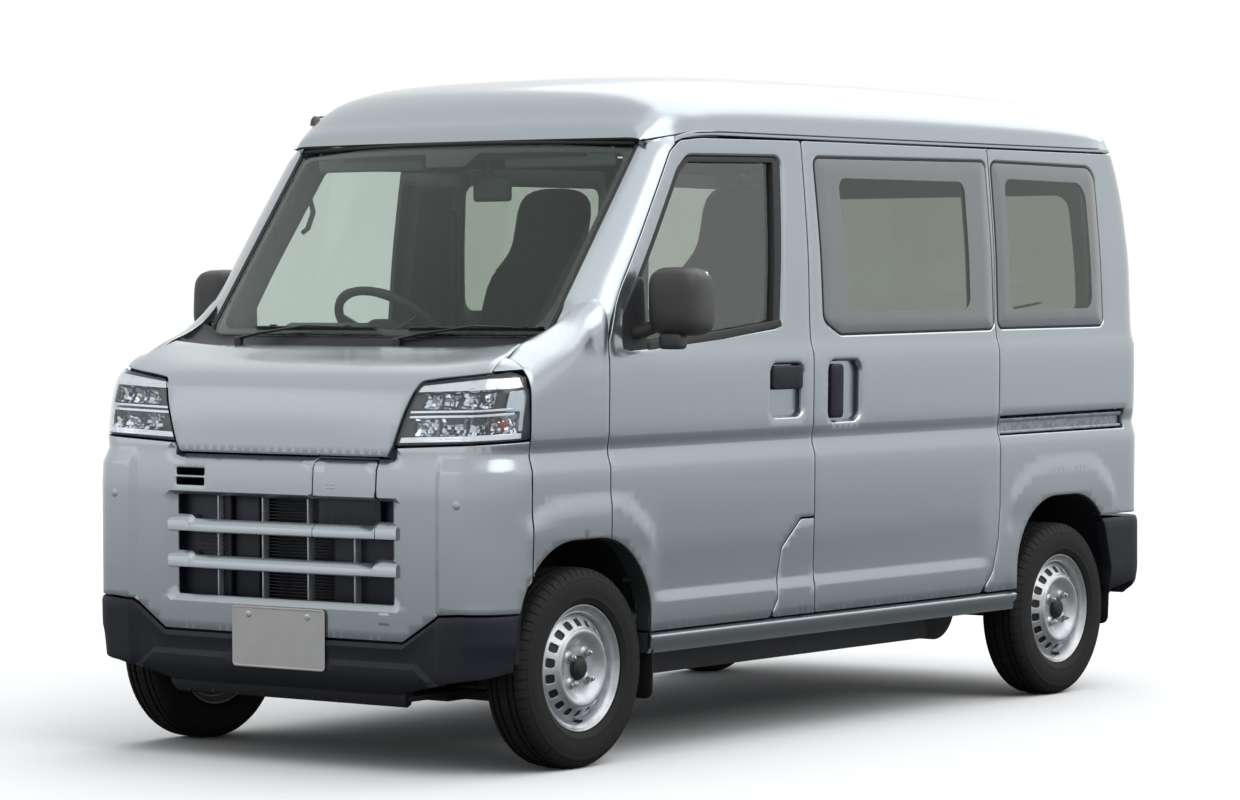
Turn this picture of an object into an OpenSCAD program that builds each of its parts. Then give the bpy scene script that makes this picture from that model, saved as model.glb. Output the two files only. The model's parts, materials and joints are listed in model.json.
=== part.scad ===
// Small high-roof electric cargo van, in millimetres.
// The front faces -Y, the vehicle's left side is +X and the ground is z = 0.
// The origin is on the ground, at the middle of the length and of the width.

/* [Overall] */
// Length over the number plate and the rear bumper
body_l = 3395; // [3300:5:3500]
// Width over the wheel-arch flares
body_w = 1475; // [1440:5:1500]
// Height of the roof's crown above the ground
body_h = 1890; // [1860:5:1930]
// Distance from the front of the number plate to the front axle
front_overhang = 412; // [405:1:420]
// Distance from the rear axle to the end of the rear bumper
rear_overhang = 533; // [525:1:541]

/* [Wheels] */
// Outer radius of a tyre
tyre_r = 268; // [262:1:270]
// Width of a tyre
tyre_w = 145; // [135:1:150]
// Radius of the rim's outer flange
rim_r = 170; // [166:1:174]
// Width of the rim over its flanges
rim_w = 118; // [110:1:122]
// Distance between the middles of the two tyres of an axle
track = 1304; // [1296:1:1308]
// Number of vent slots round a wheel disc
vent_count = 18; // [14:1:22]
// Number of wheel nuts
nut_count = 4; // [4:1:5]
// Radius of the circle of wheel nuts
nut_circle_r = 50; // [48:1:54]
// Radius of a wheel's centre bore
hub_bore_r = 30; // [28:1:31]

/* [Walls and gaps] */
// Thickness of a whole door, outer skin to trim
door_t = 60; // [50:1:64]
// Thickness of a fixed outer panel
panel_t = 22; // [16:1:26]
// Shut-line gap round doors, lids and panels
panel_gap = 6; // [5.5:0.5:7]
// Thickness of the window glass
glass_t = 5; // [4:0.5:6]
// Height of the outward step of the wheel-arch flares
flare_h = 5; // [3:1:6]

/* [Floor] */
// Height of the load floor
load_z = 645; // [640:1:660]
// Height of the floor in the footwell
foot_z = 400; // [390:1:410]
// Thickness of the floor panels
floor_t = 25; // [20:1:30]
// Height of the bottom of the sills
sill_z = 285; // [280:1:300]

/* [Number plates] */
// Width of a number plate
plate_w = 330; // [320:1:340]
// Height of a number plate
plate_h = 165; // [155:1:170]
// Distance between the two fixing holes of a plate
plate_hole_gap = 210; // [200:1:220]
// Radius of a plate's fixing holes
plate_hole_r = 3.5; // [3:0.5:4]

/* [Hidden] */
$fn = 48;
far = 3000;
half_w = body_w / 2;
front_y = -body_l / 2;
rear_y = body_l / 2;
front_axle_y = front_y + front_overhang;
rear_axle_y = rear_y - rear_overhang;
wheel_x = track / 2;
skin_x = half_w - flare_h;
half_gap = panel_gap / 2;
paint = [0.62, 0.66, 0.66];
dark = [0.17, 0.18, 0.23];
black = [0.06, 0.06, 0.07];
clear = [0.75, 0.85, 0.88, 0.4];
silver = [0.75, 0.76, 0.78];

// ---- The form of the body: half width, nose and tail at each height ----
// Heights of the belt crease, of the flat below the windows and of the cap's drip edge
belt_lo_z = 790;
belt_hi_z = 840;
waist_z = 1092;
glass_z = 1148;
drip_z = body_h - 178;
side_form = [
    [170, skin_x - 24], [sill_z, skin_x - 14], [450, skin_x - 3], [605, skin_x - 1], [belt_lo_z, skin_x],
    [belt_hi_z, skin_x - 7], [1000, skin_x - 3], [waist_z, skin_x - 3], [glass_z, skin_x - 15],
    [drip_z - 351, skin_x - 20], [drip_z - 187, skin_x - 32], [drip_z - 62, skin_x - 44],
        [drip_z, skin_x - 50],
    [body_h + 10, skin_x - 66]
];
face_y = front_y + 9;
nose_form = [
    [150, face_y + 40], [200, face_y + 24], [262, face_y + 2], [430, face_y], [727, face_y - 1],
    [833, face_y + 5], [948, face_y + 11], [1010, face_y + 25], [1045, face_y + 48], [1072, face_y + 95],
    [1100, face_y + 188], [1125, face_y + 272], [1140, face_y + 330]
];
tail_form = [
    [170, rear_y - 52], [300, rear_y - 38], [545, rear_y - 36], [1000, rear_y - 34], [1325, rear_y - 38],
    [drip_z - 128, rear_y - 72], [drip_z - 12, rear_y - 110], [drip_z, rear_y - 116],
        [body_h + 10, rear_y - 170]
];
nose_bow = 16;
nose_corner = 105;
tail_corner = 75;

function side_x(z, depth = 0) = lookup(z, side_form) - depth;
function nose_y(z, depth = 0) = lookup(z, nose_form) + depth;
function tail_y(z, depth = 0) = lookup(z, tail_form) - depth;

// One level of the nose: half of its plan outline, from the middle round the corner to the side
function nose_half(z, depth) =
    let (hw = side_x(z, depth), r = nose_corner - depth * 0.5, flat = hw - r)
    concat(
        [for (i = [0:3]) [flat * i / 3, nose_y(z, depth) + nose_bow * pow(i / 3, 2)]],
        [for (i = [1:6]) let (a = 90 * i / 6)
            [flat + r * sin(a), nose_y(z, depth) + nose_bow + r * 1.35 * (1 - cos(a))]]
    );
// One level of the tail, from the side round the corner to the middle
function tail_half(z, depth) =
    let (hw = side_x(z, depth), r = tail_corner - depth * 0.5, flat = hw - r)
    concat(
        [for (i = [0:3]) let (a = 90 * i / 4) [flat + r * cos(a),
            tail_y(z, depth) - 10 - r * (1 - sin(a))]],
        [[flat, tail_y(z, depth) - 10], [flat / 2, tail_y(z, depth) - 3], [0, tail_y(z, depth)]]
    );
function mirrored(half) = [for (i = [len(half) - 1:-1:0]) if (half[i][0] > 0.001)
    [-half[i][0], half[i][1]]];
function nose_ring(z, depth, back_y) =
    let (h = nose_half(z, depth))
    concat(mirrored(h), h, [[side_x(z, depth), back_y], [-side_x(z, depth), back_y]]);
function tail_ring(z, depth, cut_y) =
    let (h = concat([[side_x(z, depth), cut_y]], tail_half(z, depth)))
    concat(h, mirrored(h));

function quad(a, b, c, d) = [[a, b, c], [a, c, d]];
// Closed solid through a stack of level rings
module stack(rings, levels) {
    n = len(rings[0]);
    m = len(rings);
    points = [for (k = [0:m - 1]) for (p = rings[k]) [p[0], p[1], levels[k]]];
    walls = [for (k = [0:m - 2]) for (i = [0:n - 1]) let (j = (i + 1) % n, a = k * n + i, b = k * n + j)
        each [[a, a + n, b], [b, a + n, b + n]]];
    polyhedron(points, concat(walls, [[for (i = [0:n - 1]) i]],
        [[for (i = [n - 1:-1:0]) (m - 1) * n + i]]));
}
module nose_solid(levels, depth, back_y = front_axle_y + 60) {
    stack([for (z = levels) nose_ring(z, depth, back_y)], levels);
}
module tail_solid(levels, depth, cut_y = rear_axle_y + 150) {
    stack([for (z = levels) tail_ring(z, depth, cut_y)], levels);
}
module nose_shell(levels, depth, t) {
    difference() {
        nose_solid(levels, depth);
        nose_solid(levels, depth + t, front_axle_y + 70);
    }
}
module tail_shell(levels, depth, t) {
    difference() {
        tail_solid(levels, depth);
        tail_solid(levels, depth + t, rear_axle_y + 140);
    }
}

// ---- Helpers for outlines ----
// Side outline (y, z) pushed across from x0 to x1
module across(x0, x1) translate([x0, 0, 0]) rotate([90, 0, 90]) linear_extrude(x1 - x0) children();
// Front outline (x, z) pushed along from y0 to y1
module along(y0, y1) translate([0, y1, 0]) rotate([90, 0, 0]) linear_extrude(y1 - y0) children();
module both_sides() {
    children();
    mirror([1, 0, 0]) children();
}
// Wall that follows the side form between two depths and two heights, along y0 to y1
module side_wall(y0, y1, z0, z1, depth, t) {
    levels = concat([z0], [for (p = side_form) if (p[0] > z0 + 1 && p[0] < z1 - 1) p[0]], [z1]);
    m = len(levels);
    along(y0, y1) polygon(concat(
        [for (z = levels) [side_x(z, depth), z]],
        [for (k = [m - 1:-1:0]) [side_x(levels[k], depth + t), levels[k]]]
    ));
}
// Box from one corner to the other
module block(a, b) translate(a) cube(b - a);
// Wheel-arch outline about an axle
arch_r = 230;
arch_half = 283;
front_arch_z = 610;
rear_arch_z = 623;
module arch(y, top, grow = 0) {
    r = arch_r + grow;
    c = top - arch_r;
    for (s = [-1, 1]) translate([y + s * (arch_half - arch_r), c]) circle(r);
    translate([y - (arch_half - arch_r), c]) square([2 * (arch_half - arch_r), r]);
    translate([y - arch_half - grow, -50]) square([2 * (arch_half + grow), c + 50]);
}

// ---- Where the panels meet along the side ----
fascia_y = face_y + 170;
door_front_y = front_axle_y + 105;
b_gap_y = door_front_y + 965.5;
slide_rear_y = rear_axle_y - 378.5;
door_bottom_z = 345;
door_top_z = drip_z - 15;
pillar_foot = [door_front_y + 40, 1237];
pillar_head = [door_front_y + 330.5, door_top_z - 45];
module front_door_2d(g) {
    offset(delta = -g) difference() {
        polygon([
            [door_front_y, door_bottom_z], [door_front_y, 1140], pillar_foot, pillar_head,
                [door_front_y + 380.5, door_top_z - 13],
            [door_front_y + 480.5, door_top_z - 4], [b_gap_y, door_top_z], [b_gap_y, 620],
                [b_gap_y - 64, 620], [b_gap_y - 115, 594],
            [b_gap_y - 163, 540], [b_gap_y - 183, 470], [b_gap_y - 187, 400], [b_gap_y - 225, door_bottom_z]
        ]);
        arch(front_axle_y, front_arch_z);
    }
}
module sliding_door_2d(g) {
    offset(delta = -g) difference() {
        polygon([
            [b_gap_y, door_bottom_z], [b_gap_y, door_top_z], [slide_rear_y, door_top_z],
            [slide_rear_y, 600], [slide_rear_y - 12, 500], [slide_rear_y - 45, 405],
                [slide_rear_y - 112, door_bottom_z]
        ]);
    }
}
// Window openings, as side outlines
module rounded(r) offset(r = r) offset(delta = -r) children();
module door_window_2d(g = 0) offset(delta = g) rounded(34) polygon([
    [door_front_y + 75.5, 1112], [door_front_y + 84.5, 1205], [door_front_y + 358.5, door_top_z - 97],
        [door_front_y + 410.5, door_top_z - 57],
    [b_gap_y - 107, door_top_z - 51], [b_gap_y - 147, 1166], [door_front_y + 540.5, 1142]
]);
module sliding_window_2d(g = 0) offset(delta = g) rounded(24) polygon([
    [b_gap_y + 57, door_top_z - 49], [slide_rear_y - 18, door_top_z - 41], [slide_rear_y - 8, 1146],
        [b_gap_y + 155, 1140], [b_gap_y + 73, 1180]
]);
module quarter_window_2d(g = 0) offset(delta = g) rounded(24) polygon([
    [slide_rear_y + 14, door_top_z - 41], [slide_rear_y + 14, 1148], [side_end_y - 63.5, 1150],
        [side_end_y - 79.5, door_top_z - 47]
]);

// ---- Body sides ----
rocker_t = 90;
// The sill is thinner at the front, where the steered tyre swings past it
rocker_skin_t = 24;
steer_room = 20;
post_t = 70;
side_end_y = rear_y - 204;
module flare_2d(y, top, lo, hi) {
    difference() {
        polygon([[y - hi, 600], [y - hi + 20, 650], [y - lo, top + 120], [y + lo, top + 120],
            [y + hi - 20, 650], [y + hi, 600], [y + hi, 440], [y - hi, 440]]);
        arch(y, top);
    }
}
module a_pillar() intersection() {
    side_wall(front_axle_y - 40, cap_base_line[3][0], 1150, drip_z + 4, 0, 130);
    across(ws_half + 1, far) polygon([
        [front_axle_y + 22, 1223], [cap_base_line[0][0] - 8, cap_base_line[0][1] - 2],
        for (p = cap_base_line) [p[0], p[1] - 0.3], [cap_base_line[3][0], door_top_z + half_gap],
        [door_front_y + 480.5, door_top_z + half_gap - 3.5],
            [door_front_y + 378.5, door_top_z - 12.5 + half_gap],
                [pillar_head[0] - half_gap, pillar_head[1] + half_gap],
        [pillar_foot[0] - panel_gap, pillar_foot[1] + half_gap + 3], [door_front_y - panel_gap, 1240.3]
    ]);
}
// Post behind the rear edge of the fender, which carries the door's hinges and the end of the dashboard
module hinge_post() intersection() {
    side_wall(front_axle_y + 61, door_front_y - 12, 662, 1240, panel_t + 0.3, post_t);
    across(500, far) polygon([
        [front_axle_y + 10, 660], [front_axle_y + 10, 1150], [front_axle_y + 35.5, 1210],
            [door_front_y - 12, 1236], [door_front_y - 12, 660]
    ]);
}
module cant_rail() {
    side_wall(cap_base_line[3][0] - 1, side_end_y + 1, door_top_z + half_gap, drip_z - 0.3, 0,
        door_t + panel_gap + 2);
    side_wall(cap_front_y + 125, side_end_y + 1, drip_z - 48, drip_z - 8, door_t + panel_gap, post_t);
}
module b_post() {
    side_wall(b_gap_y - 60, b_gap_y + 80, sill_z + 30, door_top_z + 3, door_t + panel_gap, post_t);
    // Rubber seal that both doors close on
    side_wall(b_gap_y - 30, b_gap_y + 30, door_bottom_z + 20, door_top_z - 12, door_t + 0.3, panel_gap);
}
module rocker() {
    side_wall(front_axle_y + arch_half + 3, rear_axle_y - arch_half - 2, sill_z,
        door_bottom_z - half_gap, 4, rocker_skin_t);
    side_wall(front_axle_y + arch_half + steer_room, rear_axle_y - arch_half - 2, sill_z,
        door_bottom_z - half_gap, 4, rocker_t);
    side_wall(front_axle_y + arch_half + steer_room + 2, rear_axle_y - arch_half - 20, sill_z + 10,
        foot_z + 20, door_t + panel_gap + 4, post_t - 12);
    difference() {
        side_wall(b_gap_y - 255, b_gap_y - half_gap, door_bottom_z - 10, 640, 0, door_t + panel_gap + 1);
        across(500, far) front_door_2d(-half_gap);
        across(500, far) polygon([[b_gap_y - 285, 620 - half_gap], [b_gap_y + 20, 620 - half_gap],
            [b_gap_y + 20, 700], [b_gap_y - 285, 700]]);
    }
}
module rear_quarter() {
    difference() {
        union() {
            side_wall(slide_rear_y - 160, side_end_y, 330, door_top_z + half_gap, 0, door_t);
            intersection() {
                side_wall(rear_axle_y - 364.5, rear_axle_y + 335.5, 440, belt_lo_z, -flare_h, flare_h + 10);
                across(500, far) flare_2d(rear_axle_y, rear_arch_z, 160, 318);
            }
        }
        across(500, far) sliding_door_2d(-half_gap);
        across(500, far) arch(rear_axle_y, rear_arch_z);
        across(500, far) quarter_window_2d(2);
        // Channel of the sliding door's rail
        translate([skin_x - 26, slide_rear_y, 828]) cube([60, side_end_y + 60 - slide_rear_y, 50]);
        // Notch for the rear bumper's corner
        translate([500, rear_axle_y + 200, 200]) cube([400, 400, gate_low_z - 200]);
    }
    translate([skin_x - 26.5, slide_rear_y + 8, 842]) cube([14, side_end_y - 20 - slide_rear_y, 20]);
}
// Rounded rear corner between the side and the tailgate, open where the lamp sits
module rear_corner() difference() {
    intersection() {
        tail_shell([gate_low_z, 1000, 1325, drip_z - 128, drip_z], 0, door_t);
        translate([0, side_end_y, 0]) cube(far);
        along(side_end_y, rear_y) difference() {
            translate([500, gate_low_z]) square([400, drip_z - gate_low_z]);
            gate_2d(-half_gap);
        }
    }
    translate([gate_half - 20, side_end_y + 60, lamp_z[0] - 2]) cube([300, 300, lamp_z[1] - lamp_z[0] + 4]);
}
module side_frame() color(paint) {
    a_pillar();
    cant_rail();
    b_post();
    rocker();
    rear_quarter();
    rear_corner();
    hinge_post();
    door_hinges();
}
module side_left() side_frame();
module side_right() mirror([1, 0, 0]) side_frame();

// ---- Underframe ----
rail_x = 330;
rail_w = 60;
cab_floor_half = 400;
seat_riser_y = front_axle_y + 405.5;
// Raised floor of the load space, behind the seats
cargo_half = 540;
cargo_front_y = front_axle_y + 1385.5;
cargo_step = 3;
floor_end_y = rear_y - 137;
module underframe() color(dark) {
    floor_half = skin_x - door_t - post_t - panel_gap - 1.4;
    // Load floor with the two rear wheel houses let into it
    difference() {
        block([-floor_half, seat_riser_y, load_z - floor_t], [floor_half, floor_end_y, load_z]);
        for (s = [-1, 1]) translate([s * (floor_half - 60) - 62, seat_riser_y - 1,
            load_z - floor_t - 1]) cube([124, 430, floor_t + 2]);
    }
    block([-cargo_half, cargo_front_y, load_z - 1], [cargo_half, floor_end_y - 30, load_z + cargo_step]);
    block([-floor_half + 124, seat_riser_y - floor_t, foot_z - floor_t],
        [floor_half - 124, seat_riser_y, load_z]);
    // Footwell and the toe board
    block([-cab_floor_half, front_axle_y - 240, foot_z - floor_t], [cab_floor_half, seat_riser_y, foot_z]);
    block([-cab_floor_half, front_axle_y - 265, foot_z - floor_t],
        [cab_floor_half, front_axle_y - 240, 820]);
    block([-floor_half, front_axle_y + 302, foot_z - floor_t], [floor_half, seat_riser_y, foot_z]);
    for (s = [-1, 1]) {
        // Inner walls of the front wheel houses
        block([s > 0 ? cab_floor_half : -cab_floor_half - 14, front_axle_y - 265, foot_z - floor_t],
            [s > 0 ? cab_floor_half + 14 : -cab_floor_half, front_axle_y + 302, 660]);
        // Long rails
        block([s * rail_x - rail_w / 2, seat_riser_y, 385],
            [s * rail_x + rail_w / 2, rear_axle_y - 200, load_z - floor_t]);
        block([s * rail_x - rail_w / 2, rear_axle_y - 200, 500],
            [s * rail_x + rail_w / 2, floor_end_y + 10, load_z - floor_t]);
        block([s * rail_x - rail_w / 2, face_y + 60, 290],
            [s * rail_x + rail_w / 2, seat_riser_y, foot_z - floor_t]);
    }
    roof_headers();
    gate_hinges();
    // Cross members
    for (y = [for (k = [0:3]) seat_riser_y + 320 + k * (rear_axle_y - seat_riser_y - 684.5) / 3])
        block([-floor_half, y - 25, load_z - floor_t - 50], [floor_half, y + 25, load_z - floor_t]);
    block([-560, floor_end_y, 480], [560, floor_end_y + 30, load_z]);
    // Front beam, bulkhead and the headers at the two ends of the roof
    block([-590, face_y + panel_t + 6 + nose_bow + 3, 300], [590, face_y + 75, 390]);
    block([-60, face_y + panel_t + 6 + 1.9, 320], [60, face_y + 60, 370]);
    // Stays of the rear bumper and the tailgate's striker
    for (s = [-1, 1]) block([s * 400 - 20, floor_end_y + 29, 480],
        [s * 400 + 20, rear_y - rear_bumper_t - 12 * 420 / (half_w - 115) - 0.3, 520]);
    block([-15, floor_end_y + 29, 570], [15, tail_y(570, door_t) - 0.5, 610]);
    block([-700, fascia_y - half_gap + 0.3, 840], [700, fascia_y + 18, 1040]);
    block([-cab_floor_half, fascia_y - 30, 780], [cab_floor_half, fascia_y + 18, 842]);
    block([-40, face_y + panel_t + 60.3, 780], [40, fascia_y, 800]);
}

// ---- Roof cap ----
cap_t = 30;
cap_front_y = front_axle_y + 380.5;
cap_rear_y = rear_y - 122;
cap_base_line = [[cap_front_y, drip_z - 30], [cap_front_y + 45, drip_z - 22],
    [cap_front_y + 145, drip_z - 6], [cap_front_y + 305, drip_z]];
function cap_top(y) = lookup(y, [[cap_front_y, drip_z - 22], [cap_front_y + 45, body_h - 145],
    [cap_front_y + 105, body_h - 84],
    [cap_front_y + 175, body_h - 42], [cap_front_y + 305, body_h - 16], [cap_front_y + 555, body_h - 4],
    [cap_rear_y - 1275.5, body_h], [cap_rear_y - 675.5, body_h - 8], [cap_rear_y - 275.5, body_h - 24],
    [cap_rear_y - 135.5, body_h - 44], [cap_rear_y - 45.5, body_h - 86], [cap_rear_y, body_h - 156]]);
function cap_base(y) = lookup(y, cap_base_line);
function cap_bow(y) = lookup(y, [[cap_front_y, 30], [cap_front_y + 555, 0]]);
function cap_half(y) = lookup(y, [[cap_front_y, 630], [cap_front_y + 45, 652], [cap_front_y + 105, 672],
    [cap_front_y + 205, side_x(drip_z)], [cap_rear_y - 175.5, side_x(drip_z)], [cap_rear_y, 652]]);
// Half section of the cap at y, from the drip edge to the crown
function cap_section(y, depth) =
    let (w = cap_half(y) - depth, b = cap_base(y), h = max(6, cap_top(y) - depth - b))
    [[w, b], [w - 4 * h / 178, b + h * 0.08], [w - 24 * h / 178, b + h * 0.40],
        [w - 54 * h / 178, b + h * 0.66],
     [w - 96 * h / 178, b + h * 0.82], [w - 190 * h / 178, b + h * 0.93], [w * 0.42, b + h * 0.985],
         [0, b + h]];
cap_ys = concat([for (d = [0, 45, 105, 145, 305, 555]) cap_front_y + d],
    [for (d = [1275.5, 675.5, 275.5, 135.5, 45.5, 0]) cap_rear_y - d]);
module cap_solid(depth, ys) {
    rings = [for (y = ys) let (h = cap_section(y, depth))
        concat(h, [for (i = [len(h) - 2:-1:0]) [-h[i][0], h[i][1]]])];
    n = len(rings[0]);
    m = len(rings);
    points = [for (k = [0:m - 1]) for (p = rings[k])
        [p[0], ys[k] - cap_bow(ys[k]) * max(0, 1 - pow(p[0] / 607, 2)), p[1]]];
    walls = [for (k = [0:m - 2]) for (i = [0:n - 1]) let (j = (i + 1) % n, a = k * n + i, b = k * n + j)
        each [[a, b, a + n], [b, b + n, a + n]]];
    polyhedron(points, concat(walls, [[for (i = [n - 1:-1:0]) i]],
        [[for (i = [0:n - 1]) (m - 1) * n + i]]));
}
// Roof frame: header over the windscreen and header over the tailgate
module roof_headers() {
    translate([0, 0, drip_z - 72]) linear_extrude(41.7) polygon(concat(
        [for (i = [-6:6]) let (u = i / 6) [u * (ws_half + 0.5), ws_high[0] + 6 + 46 * u * u]],
        [[ws_half + 0.5, cap_front_y + 70], [-ws_half - 0.5, cap_front_y + 70]]));
    rail_inner = side_x(drip_z - 8, door_t + panel_gap + post_t) - 0.4;
    block([-rail_inner, side_end_y - 40, drip_z - 48], [rail_inner, side_end_y, drip_z - 0.3]);
}
module roof_cap() color(paint) {
    difference() {
        cap_solid(0, cap_ys);
        translate([0, 0, -3]) cap_solid(cap_t, [for (k = [2:10]) cap_ys[k]]);
    }
    // Rod aerial on the right front edge
    translate([-634, cap_front_y + 105, body_h - 132]) rotate([0, -30, 0]) {
        cylinder(h = 26, r = 13);
        translate([0, 0, 20]) rotate([-78, 0, 0]) cylinder(h = 190, r1 = 5, r2 = 3);
    }
}

// ---- Front end ----
nose_levels = [340, 430, 727, 833, 886];
hood_bottom_z = 835;
module fascia_2d(g) offset(delta = -g) both_sides_2d() polygon([
    [0, hood_bottom_z], [372, hood_bottom_z], [389, 861], [far, 880], [far, 429], [545, 424],
        [424, 348], [0, 348]
]);
module both_sides_2d() {
    children();
    mirror([1, 0]) children();
}
grille_half = 398;
grille_top_z = 728;
grille_low_z = 432;
slat_zs = [532, 635];
slat_h = 34;
lid_x = [118, 336];
lid_z = [616, 826];
module lid_2d(g) offset(delta = -g) polygon([
    [lid_x[0], lid_z[0]], [lid_x[0], lid_z[1]], [lid_x[1], lid_z[1]], [lid_x[1], lid_z[0]]
]);
module fascia() color(paint) {
    difference() {
        intersection() {
            nose_shell(nose_levels, 0, panel_t);
            along(front_y - 100, fascia_y - half_gap) fascia_2d(half_gap);
        }
        // Grille opening between the slats
        along(front_y - 100, face_y + 120) for (o = [[grille_low_z, slat_zs[0] - slat_h / 2],
            [slat_zs[0] + slat_h / 2, slat_zs[1] - slat_h / 2],
            [slat_zs[1] + slat_h / 2, grille_top_z]])
                polygon([[-grille_half, o[0]], [-grille_half, o[1]], [grille_half, o[1]],
                    [grille_half, o[0]]]);
        along(front_y - 100, face_y + 120) lid_2d(-half_gap);
        // Two small slots at the upper right
        along(front_y - 100, face_y + 120) for (z = [744, 772]) translate([-381, z]) square([107, 20]);
        across(-far, far) arch(front_axle_y, front_arch_z);
    }
    for (z = [lid_pin_z - 32.3, lid_pin_z + 20.3]) {
        translate([lid_pin[0], lid_pin[1], z]) cylinder(h = 12, r = 2.5);
        block([lid_pin[0], lid_pin[1] - 1, z], [lid_pin[0] + 8, lid_pin[1] + 2.4, z + 12]);
    }
}
module grille() color(black) {
    // Backing panel with cooling fins, and the upright bars in front of it
    difference() {
        block([-grille_half - 12, face_y + panel_t + 24, grille_low_z - 20],
            [grille_half + 12, face_y + panel_t + 60, grille_top_z + 90]);
        for (k = [0:24]) block([-grille_half + 20, face_y + panel_t + 20, 444 + k * 14],
            [grille_half - 20, face_y + panel_t + 36, 451 + k * 14]);
    }
    for (x = [-203, -68, 68, 203]) {
        bow = nose_bow * pow(x / (skin_x - nose_corner), 2);
        block([x - 5, face_y + panel_t + 0.8 + bow, grille_low_z - 8],
            [x + 5, face_y + panel_t + 24, x > lid_x[0] ? lid_z[0] - panel_gap : grille_top_z - 1]);
    }
}
bumper_levels = [150, 200, 262, 340, 430, 470];
module bumper_2d(g) offset(delta = -g) both_sides_2d() polygon([
    [0, 348], [424, 348], [545, 424], [far, 429], [far, 258], [560, 250], [440, 210], [0, 205]
]);
module front_bumper() color(dark) {
    difference() {
        intersection() {
            nose_shell(bumper_levels, 0, panel_t + 6);
            along(front_y - 100, fascia_y + 120) bumper_2d(half_gap);
        }
        across(-far, far) arch(front_axle_y, front_arch_z);
    }
    // Under-panel and the undertray behind it
    along(face_y + 28, face_y + 48) polygon([[-380, 212], [380, 212], [430, 176], [-350, 176]]);
    block([-420, face_y + 40, 190], [420, front_axle_y - 100, 206]);
    for (s = [-1, 1]) block([s * rail_x - 20, front_axle_y - 240, 206],
        [s * rail_x + 20, front_axle_y - 200, 289.7]);
}
plate_z = 342;
module number_plate() color(silver) difference() {
    union() {
        block([-plate_w / 2, front_y, plate_z - plate_h / 2],
            [plate_w / 2, front_y + 2, plate_z + plate_h / 2]);
        block([-plate_hole_gap / 2 - 25, front_y + 1, plate_z + 20],
            [plate_hole_gap / 2 + 25, face_y - 0.3, plate_z + plate_h / 2 - 8]);
    }
    for (s = [-1, 1]) translate([s * plate_hole_gap / 2, front_y - 1, plate_z + plate_h / 2 - 22])
        rotate([-90, 0, 0]) cylinder(h = 20, r = plate_hole_r);
}
hood_rear_y = front_axle_y - 134.5;
hood_levels = [800, 833, 948, 1010, 1045, 1072, 1100, 1125];
module hood_2d(g) offset(delta = -g) both_sides_2d() polygon([
    [0, hood_bottom_z], [372, hood_bottom_z], [389, 861], [454, 1036], [652, 1062], [652, 1400], [0, 1400]
]);
// Hinges at the rear edge of the hood: fixed barrels of the cowl in notches of the hood
hood_pin = [hood_rear_y - 3, 1119];
hood_pin_r = 4;
hood_hinge_x = 500;
module hood_panel() intersection() {
    union() {
        nose_shell(hood_levels, 0, panel_t);
        // Top panel behind the rolled edge
        across(-far, far) polygon([
            [face_y + 100, 1073 - panel_t], [face_y + 100, 1073], [face_y + 188, 1100], [hood_rear_y, 1124],
            [hood_rear_y, 1124 - panel_t], [face_y + 188, 1100 - panel_t]
        ]);
    }
    along(front_y - 100, hood_rear_y) hood_2d(half_gap);
    translate([0, 0, 700]) linear_extrude(500) polygon([
        [-652, front_y], [652, front_y], [648, hood_rear_y - 140], [622, hood_rear_y],
            [-622, hood_rear_y], [-648, hood_rear_y - 140]
    ]);
}
module hood() color(paint) difference() {
    hood_panel();
    both_sides() translate([hood_hinge_x - 0.4, hood_pin[0] - 6, hood_pin[1] - 30]) cube([40.8, 30, 60]);
}
// Hinge of the lid, whose barrels alternate along a vertical pin line at its outer edge
lid_pin = [lid_x[1] - 1, face_y + 2.5];
lid_pin_z = 721;
module charge_lid() color(paint) {
    intersection() {
        nose_shell([600, 727, 833], 0, panel_t);
        along(front_y - 100, face_y + 120) lid_2d(half_gap);
    }
    translate([lid_pin[0], lid_pin[1], lid_pin_z - 20]) cylinder(h = 40, r = 2.5);
    block([lid_pin[0] - 6, lid_pin[1] - 1, lid_pin_z - 20], [lid_pin[0], lid_pin[1] + 2.4, lid_pin_z + 20]);
}
lamp_levels = [850, 948, 1010, 1045, 1072];
module headlamps() color(clear) intersection() {
    nose_shell(lamp_levels, 3, 110);
    along(front_y - 100, fascia_y - half_gap) offset(delta = -half_gap) both_sides_2d() polygon([
        [389, 861], [454, 1036], [652, 1060], [far, 1066], [far, 880]
    ]);
}
module fender() {
    difference() {
        union() {
            intersection() {
                side_wall(fascia_y + half_gap, door_front_y - half_gap, 345, 1240, 0, panel_t);
                across(500, far) polygon([
                    [fascia_y, 300], [fascia_y, 1062], [front_axle_y - 125.5, 1130],
                        [front_axle_y + 35.5, 1222], [door_front_y - half_gap, 1240],
                            [door_front_y - half_gap, 300]
                ]);
            }
            // Shoulder from the lamp up to the foot of the pillar
            intersection() {
                side_wall(fascia_y + half_gap, door_front_y - half_gap, 1030, 1240, 0, 76);
                across(500, far) polygon([
                    [fascia_y, 1040], [fascia_y, 1062], [front_axle_y - 125.5, 1130],
                        [front_axle_y + 35.5, 1222], [front_axle_y + 60, 1176],
                            [front_axle_y + 60, 1150], [front_axle_y - 114.5, 1100]
                ]);
            }
            intersection() {
                side_wall(fascia_y + half_gap, door_front_y - half_gap, 440, belt_lo_z, -flare_h,
                    flare_h + 10);
                across(500, far) flare_2d(front_axle_y, front_arch_z, 150, 296);
            }
        }
        across(400, far) arch(front_axle_y, front_arch_z);
    }
}
module fenders() color(paint) both_sides() fender();
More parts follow.
